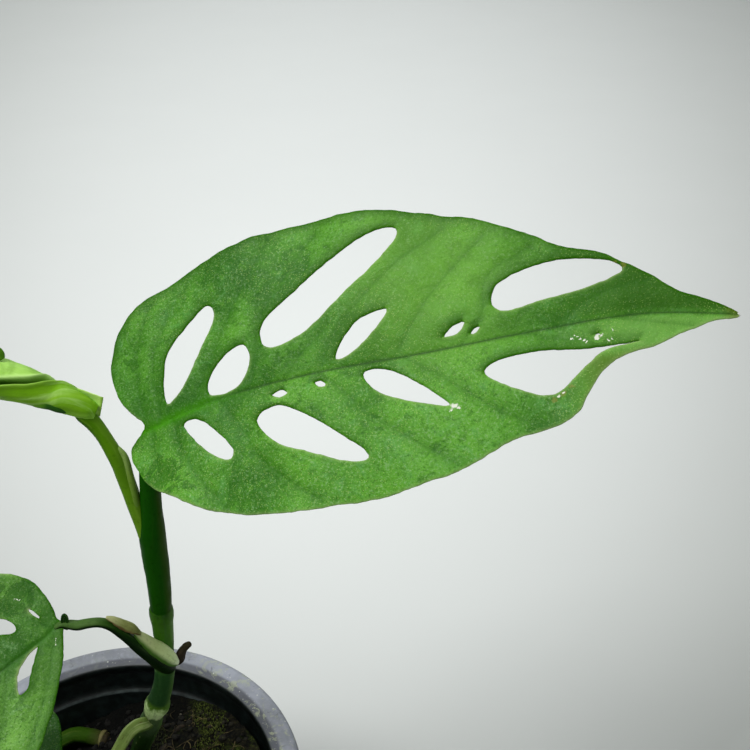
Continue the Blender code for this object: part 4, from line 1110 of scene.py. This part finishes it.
def pot_look():
    """Grey plastic: paler on top of the rim from dust and a painted sheen, stained at the right, and nearly
    black inside from its black inner layer and painted shade.
    """
    g = Look("pot_plastic", specular=0.35)
    place = g.coords()
    upward = g.facing(2)
    height = g.part(place, 2)
    radius = g.distance(g.scaled(place, (1, 1, 0)), (0, 0, 0))
    inside = g.span(radius, MOUTH + 0.0014, MOUTH + 0.0001)
    cloud = g.noise(place, 48, 4, 0.6, 0.5)
    grain = g.noise(place, 260, 5, 0.6, 0.3)
    fine = g.noise(place, 1500, 3, 0.6)
    plastic = g.mix(g.span(cloud, 0.35, 0.7), srgb(58, 60, 66), srgb(80, 82, 90))
    # dust on the upward faces, with a painted reflection of the bright sky on them
    dust_and_sheen = g.mix(g.span(cloud, 0.35, 0.65), srgb(122, 126, 133), srgb(152, 157, 167))
    dust_and_sheen = g.mix(g.span(grain, 0.40, 0.70, 0, 0.45), dust_and_sheen, srgb(160, 164, 176))
    on_top = g.span(upward, 0.10, 0.85)
    colour = g.mix(on_top, plastic, dust_and_sheen)
    # the mouth's edge is paler, and a soft painted shadow runs just outside it
    line = g.times(g.span(radius, MOUTH, MOUTH + 0.0010), g.span(radius, MOUTH + 0.0040, MOUTH + 0.0026))
    colour = g.mix(g.times(line, 0.8), colour, srgb(62, 64, 72))
    worn = g.times(g.span(radius, MOUTH - 0.0006, MOUTH + 0.0002),
                   g.span(radius, MOUTH + 0.0012, MOUTH + 0.0004),
                   g.span(height, POT_HEIGHT - 0.003, POT_HEIGHT - 0.001))
    colour = g.mix(g.times(worn, 0.5), colour, srgb(150, 156, 160))
    # greenish cream scum, mostly at the right, with specks and dark scuffs
    right = g.span(g.part(place, 0), 0.0, 0.045, 0.12, 1.0)
    stain = g.times(g.span(g.noise(place, 190, 5, 0.7, 1.2), 0.53, 0.62), on_top, right)
    colour = g.mix(g.times(stain, 0.60), colour, srgb(168, 176, 142))
    dots = g.times(g.span(g.cells(place, 640), 0.24, 0.10), on_top, g.span(grain, 0.50, 0.62))
    colour = g.mix(g.times(dots, 0.8), colour, srgb(206, 210, 198))
    scuff = g.noise(g.scaled(place, (1, 1, 2)), 150, 6, 0.75, 1.5)
    colour = g.tints(colour, (scuff, 0.57, 0.68, 0.60, srgb(76, 80, 84)))
    # nearly black inside: the pot's black inner plastic, darkened further as painted shade
    dark = g.mix(g.span(g.noise(place, 300, 3), 0.4, 0.7), srgb(6, 11, 10), srgb(18, 26, 25))
    colour = g.mix(inside, colour, dark)
    ridge = g.times(g.span(height, 0.0856, 0.0860), g.span(height, 0.0868, 0.0863), inside)
    colour = g.mix(g.times(ridge, g.span(grain, 0.35, 0.6, 0.2, 0.6)), colour, srgb(64, 74, 74))
    relief = g.bump(fine, 0.20, 0.0003)
    relief = g.bump(scuff, 0.18, 0.0006, relief)
    rough = g.mix(on_top, g.span(cloud, 0.3, 0.7, 0.36, 0.5), g.span(grain, 0.3, 0.7, 0.42, 0.62))
    return g.finish(colour, rough, relief)


SOIL_LEVEL, SOIL_SLOPE = 0.0845, 0.14           # height on the axis, and rise toward +X
HOLLOW_DEPTH, MOUND_RISE = 0.0085, 0.003
SOIL_GAP = 0.0004                               # between the soil and the pot's wall


def soil_height(x, y):
    """Sloping level with the hollow at the back left and the mound at the right."""
    hollow = math.exp(-((x + 0.020) / 0.018) ** 2 - ((y - 0.036) / 0.020) ** 2)
    mound = math.exp(-((x - 0.042) / 0.016) ** 2 - ((y - 0.012) / 0.020) ** 2)
    return SOIL_LEVEL + SOIL_SLOPE * x - HOLLOW_DEPTH * hollow + MOUND_RISE * mound


def soil_top(x, y):
    """Surface with its lumps and crumbs."""
    p = Vector((x, y, 0))
    z = soil_height(x, y)
    z += 0.0016 * noise.noise(p * 95) + 0.0011 * noise.noise(p * 260 + Vector((3, 1, 0)))
    z += 0.0007 * abs(noise.noise(p * 620)) + 0.00035 * noise.noise(p * 1500)
    return z


def build_soil(mat):
    """Closed mass of soil: rings of its surface, then a fan at the bottom."""
    turns, rings = ((220, 84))
    verts, faces = [], []
    for k in range(rings):
        share = 1 - k / rings
        for i in range(turns):
            a = 2 * math.pi * (i + 0.5 * (k % 2)) / turns
            r = (inner_radius(0.084) - SOIL_GAP) * share
            x, y = r * math.cos(a), r * math.sin(a)
            z = soil_top(x, y)
            if k == 0:
                r = inner_radius(z) - SOIL_GAP
                x, y = r * math.cos(a), r * math.sin(a)
            verts.append((x, y, z))
    verts.append((0, 0, soil_top(0, 0)))
    hub = len(verts) - 1
    for k in range(rings - 1):
        for i in range(turns):
            m = (i + 1) % turns
            a, b, c, d = k * turns + i, k * turns + m, (k + 1) * turns + m, (k + 1) * turns + i
            faces += [(a, b, d), (b, c, d)] if k % 2 == 0 else [(a, b, c), (a, c, d)]
    faces += [((rings - 1) * turns + i, (rings - 1) * turns + (i + 1) % turns, hub)
              for i in range(turns)]
    low = FLOOR + 0.0003
    start = len(verts)
    for i in range(turns):
        a = 2 * math.pi * i / turns
        r = inner_radius(low) - 0.0014
        verts.append((r * math.cos(a), r * math.sin(a), low))
    verts.append((0, 0, low))
    for i in range(turns):
        m = (i + 1) % turns
        faces += [(i, start + i, start + m, m), (start + i, len(verts) - 1, start + m)]
    return make("soil_body", verts, faces, mat, "potting_soil")


def soil_look():
    """Dark mix with brown lumps and moss at the right, and a painted shadow that turns it black at the left.
    """
    g = Look("soil_mix", roughness=0.95, specular=0.15)
    place = g.coords()
    lumps = g.noise(place, 360, 5, 0.7, 0.4)
    fine = g.noise(place, 1400, 4, 0.7)
    colour = g.ramp(lumps, (0.36, srgb(1, 2, 1)), (0.50, srgb(8, 8, 4)), (0.62, srgb(26, 24, 13)),
                    (0.76, srgb(54, 50, 30)))
    colour = g.tints(colour, (fine, 0.54, 0.72, 0.45, srgb(78, 72, 46)))
    moss = g.span(g.noise(place, 85, 3, 0.6, 0.6), 0.46, 0.60)
    right = g.span(g.part(place, 0), 0.004, 0.026)
    moss = g.times(moss, right, g.span(fine, 0.42, 0.58))
    colour = g.mix(g.times(moss, 0.75), colour, srgb(64, 78, 22))
    # painted shadow: near black toward the left
    colour = g.tints(colour, (g.part(place, 0), 0.030, 0.006, 0.9, srgb(0, 1, 0)))
    relief = g.bump(fine, 0.8, 0.0008)
    relief = g.bump(lumps, 0.6, 0.0014, relief)
    return g.finish(colour, normal=relief)


def places(rng, count, across_x, across_y, limit, chosen):
    """Random spots on the soil, no farther than limit from the axis, that chosen agrees to."""
    while count:
        x, y = rng.uniform(*across_x), rng.uniform(*across_y)
        if math.hypot(x, y) <= limit and chosen(x, y):
            count -= 1
            yield x, y


def scatter(name, mat, count, sizes, share, seed, lift=0.25, squash=(1, 1, 0.7)):
    """Many small irregular grains on the soil, as one piece. share is how many spots are kept."""
    rng = random.Random(seed)
    verts, faces = [], []
    unit = bmesh.new()
    bmesh.ops.create_icosphere(unit, subdivisions=2, radius=1.0)
    shape = [v.co.copy() for v in unit.verts]
    links = [tuple(v.index for v in f.verts) for f in unit.faces]
    unit.free()
    wide = (-0.049, 0.049)
    for x, y in places(rng, count, wide, wide, 0.0475, lambda x, y: rng.random() <= share):
        size = rng.uniform(*sizes)
        turn = Matrix.Rotation(rng.uniform(0, 6.28), 3, "Z") @ Matrix.Rotation(
            rng.uniform(-0.9, 0.9), 3, "X")
        stretch = Vector((squash[0] * rng.uniform(0.7, 1.3), squash[1] * rng.uniform(0.7, 1.3),
                          squash[2] * rng.uniform(0.7, 1.3)))
        shift = Vector((rng.uniform(0, 50), rng.uniform(0, 50), 0))
        centre = Vector((x, y, soil_top(x, y) + size * lift))
        start = len(verts)
        for v in shape:
            k = 1 + 0.45 * noise.noise(v * 1.6 + shift)
            p = Vector((v.x * stretch.x, v.y * stretch.y, v.z * stretch.z)) * (size * k)
            verts.append(centre + turn @ p)
        faces += [tuple(start + k for k in f) for f in links]
    return make(name, verts, faces, mat, "potting_soil")


def moss_tufts(name, mat, count, seed):
    """Tiny upright shoots, each a slim closed spike, in patches at the right of the soil."""
    rng = random.Random(seed)
    verts, faces = [], []

    def mossy(x, y):
        return x >= 0.006 and noise.noise(Vector((x * 90, y * 90, 5.0))) >= 0.02

    for x, y in places(rng, count, (0.0, 0.049), (-0.03, 0.045), 0.048, mossy):
        tall, wide = rng.uniform(0.0007, 0.0018), rng.uniform(0.00018, 0.00032)
        base = Vector((x, y, soil_top(x, y) - 0.0002))
        lean = Vector((rng.uniform(-0.7, 0.7), rng.uniform(-0.7, 0.7), 1)).normalized()
        side, other = across(lean, (1, 0.2, 0))
        start = len(verts)
        for k in range(3):
            a = 2 * math.pi * k / 3
            ring = side * math.cos(a) + other * math.sin(a)
            verts += [base + ring * wide * 0.6, base + lean * tall * 0.45 + ring * wide]
        verts += [base + lean * tall, base]
        for k in range(3):
            a, b = start + 2 * k, start + 2 * ((k + 1) % 3)
            faces += [(a, b, b + 1, a + 1), (a + 1, b + 1, start + 6), (b, a, start + 7)]
    return make(name, verts, faces, mat, "potting_soil")


def fibres(name, mat, count, seed):
    """Short bent root hairs and coir fibres lying on the soil."""
    rng = random.Random(seed)
    verts, faces = [], []
    wide = (-0.046, 0.046)
    for x, y in places(rng, count, wide, wide, 0.044, lambda x, y: rng.random() <= 0.25 + 30 * x):
        heading, bend = rng.uniform(0, 6.28), rng.uniform(-0.7, 0.7)
        size, length = rng.uniform(0.00008, 0.00019), rng.uniform(0.0006, 0.0016)
        start = len(verts)
        p = Vector((x, y))
        for k in range(6):
            spot = Vector((p.x, p.y, soil_top(p.x, p.y) + 0.0004 + 0.0004 * math.sin(k)))
            run = Vector((math.cos(heading), math.sin(heading), 0))
            side, other = across(run, (0, 0, 1))
            for j in range(4):
                a = math.pi / 2 * j
                verts.append(spot + (side * math.cos(a) + other * math.sin(a)) * size)
            p = p + Vector((math.cos(heading), math.sin(heading))) * length
            heading += bend
            if p.length > 0.046:
                p = p * (0.046 / p.length)
        for k in range(5):
            for j in range(4):
                m = (j + 1) % 4
                a, b = start + 4 * k, start + 4 * k + 4
                faces.append((a + j, a + m, b + m, b + j))
        faces += [tuple(start + j for j in (3, 2, 1, 0)), tuple(start + 20 + j for j in range(4))]
    return make(name, verts, faces, mat, "potting_soil")


def grain_look(name, low, high, rough=0.9):
    """Two tones in fine specks, under a painted shadow that makes them nearly black at the left of the soil.
    """
    g = Look(name, roughness=rough, specular=0.3)
    place = g.coords()
    speck = g.noise(place, 700, 4, 0.65)
    colour = g.mix(g.span(speck, 0.3, 0.7), low, high)
    # painted shadow: near black toward the left
    colour = g.tints(colour, (g.part(place, 0), 0.028, 0.004, 0.85, srgb(1, 1, 0)))
    return g.finish(colour, normal=g.bump(g.noise(place, 2200, 3), 0.6, 0.0004))


# ================================================================ stage

def build_stage():
    """Pale floor that turns up into a round backdrop, soft lights and the camera."""
    profile = through([(0.0, 0.0), (0.4, 0.0), (0.9, 0.0), (1.6, 0.0), (2.6, 0.0), (3.2, 0.10),
                       (3.7, 0.40), (4.0, 0.90), (4.1, 1.6), (4.1, 3.2)], 6)
    turns, n = 96, len(profile) - 1
    verts = turned([(r, max(z, 0.0)) for r, z in profile[1:]], turns)
    hub = len(verts)
    verts.append((0, 0, 0))
    faces = []
    for i in range(turns):
        a, b = i * n, ((i + 1) % turns) * n
        faces.append((hub, a, b))
        faces += [(a + k, a + k + 1, b + k + 1, b + k) for k in range(n - 1)]
    # the floor's colour is a painted pool of light: brightest behind the plant, and darker to every side of
    # that
    g = Look("backdrop", roughness=0.9, specular=0.0)
    place = g.coords()
    depth = g.maths("MAXIMUM", g.maths("ADD", g.part(place, 1), 0.43), 0.45)
    side = g.maths("DIVIDE", g.maths("SUBTRACT", g.part(place, 0), 0.054), depth)
    far = g.maths("DIVIDE", g.maths("SUBTRACT", g.part(place, 1), 0.500), depth)
    spread = g.maths("ADD", g.times(side, side, 3.95), g.times(far, far, 0.85))
    cloud = g.noise(place, 9.0, 3, 0.5)
    spread = g.maths("ADD", spread, g.span(cloud, 0.3, 0.7, -0.006, 0.006))
    tone = g.ramp(spread, (0.0, (0.845, 0.872, 0.858)), (0.25, (0.725, 0.750, 0.735)),
                  (0.50, (0.600, 0.622, 0.605)), (0.75, (0.495, 0.515, 0.497)),
                  (1.0, (0.400, 0.418, 0.400)))
    mesh = bpy.data.meshes.new("floor")
    mesh.from_pydata(verts, [], faces)
    mesh.polygons.foreach_set("use_smooth", [True] * len(mesh.polygons))
    mesh.materials.append(g.finish(tone, normal=g.bump(g.noise(place, 40, 3), 0.05, 0.002)))
    floor = bpy.data.objects.new("floor", mesh)
    bpy.context.collection.objects.link(floor)

    world = bpy.data.worlds.new("studio")
    world.use_nodes = True
    sky = world.node_tree.nodes["Background"]
    sky.inputs["Color"].default_value = (0.97, 0.99, 1.0, 1.0)
    sky.inputs["Strength"].default_value = 0.50
    bpy.context.scene.world = world

    def area(name, at, target, size, power, colour=(1, 1, 1)):
        lamp = bpy.data.lights.new(name, "AREA")
        lamp.shape, lamp.size, lamp.energy, lamp.color = "DISK", size, power, colour
        holder = bpy.data.objects.new(name, lamp)
        holder.location = at
        holder.rotation_euler = (Vector(target) - Vector(at)).to_track_quat("-Z", "Y").to_euler()
        bpy.context.collection.objects.link(holder)

    area("key", (-0.9, -0.5, 2.1), (0.05, 0.1, 0.15), 1.2, 33, (1.0, 0.995, 0.98))
    area("fill", (1.6, -1.6, 1.5), (0.05, 0, 0.15), 1.6, 5, (0.96, 0.98, 1.0))
    area("back", (-0.3, 1.9, 1.7), (0.1, 0.6, 0.0), 1.6, 14, (0.98, 0.99, 1.0))

    lens = bpy.data.cameras.new("camera")
    lens.lens, lens.sensor_width = 48.0, 36.0
    lens.clip_start, lens.clip_end = 0.01, 50
    camera = bpy.data.objects.new("camera", lens)
    camera.location = (0.084, -0.196, 0.375)
    camera.rotation_euler = (math.radians(58), 0, 0)
    bpy.context.collection.objects.link(camera)
    bpy.context.scene.camera = camera
    bpy.context.scene.view_settings.view_transform = "Standard"


# ================================================================ build

def main():
    """Leaf tones below are dark, middle, light, bluish painted sheen and glow; the halves are painted shade
    and light.
    """
    build_stage()
    tones = (srgb(38, 98, 10), srgb(78, 144, 32), srgb(104, 174, 48), srgb(96, 164, 80),
             srgb(66, 146, 0))
    halves = ((srgb(78, 142, 42), 0.40), (srgb(84, 146, 54), 0.30))
    leaf_blade("large_blade", LARGE_LEAF,
               leaf_look("leaf_large", tones, halves, 0.55, 0.3, tip=1.0, scars=LARGE_LEAF["scars"],
                         burns=LARGE_LEAF["burns"]), "large_leaf_blade")
    tones = (srgb(36, 92, 14), srgb(88, 146, 50), srgb(122, 182, 72), srgb(114, 166, 96),
             srgb(48, 108, 8))
    halves = ((srgb(70, 124, 44), 0.65), (srgb(122, 180, 72), 0.55))
    leaf_blade("left_blade", LEFT_LEAF,
               leaf_look("leaf_left", tones, halves, 0.30, 0.5, scars=LEFT_LEAF["scars"]), "left_leaf_blade")
    tones = (srgb(24, 62, 12), srgb(40, 84, 22), srgb(56, 102, 40), srgb(66, 104, 64),
             srgb(60, 104, 30))
    halves = ((srgb(44, 86, 24), 0.3), (srgb(36, 78, 18), 0.3))
    leaf_blade("low_blade", LOW_LEAF,
               leaf_look("leaf_low", tones, halves, 0.15, 1.0), "low_leaf_blade")
    furled_leaf(furled_look())
    furled_extras()
    build_stems()
    build_pot(pot_look())
    build_soil(soil_look())
    bark = grain_look("bark_bits", srgb(3, 3, 1), srgb(34, 32, 18))
    scatter("bark_crumbs", bark, 900, (0.0004, 0.0013), 1.0, 11)
    scatter("bark_chips", grain_look("bark_chip", srgb(10, 8, 5), srgb(66, 54, 34)), 46,
            (0.0012, 0.0024), 0.7, 23, 0.1, (1.3, 0.7, 0.35))
    scatter("perlite_grains", grain_look("perlite", srgb(120, 116, 96), srgb(176, 172, 150)), 12,
            (0.0004, 0.0008), 1.0, 37)
    moss_tufts("moss_shoots", grain_look("moss", srgb(24, 34, 4), srgb(92, 104, 36), 0.8),
               3600, 41)
    fibres("root_fibres", grain_look("fibre", srgb(40, 32, 18), srgb(116, 104, 66)), 170, 53)


main()
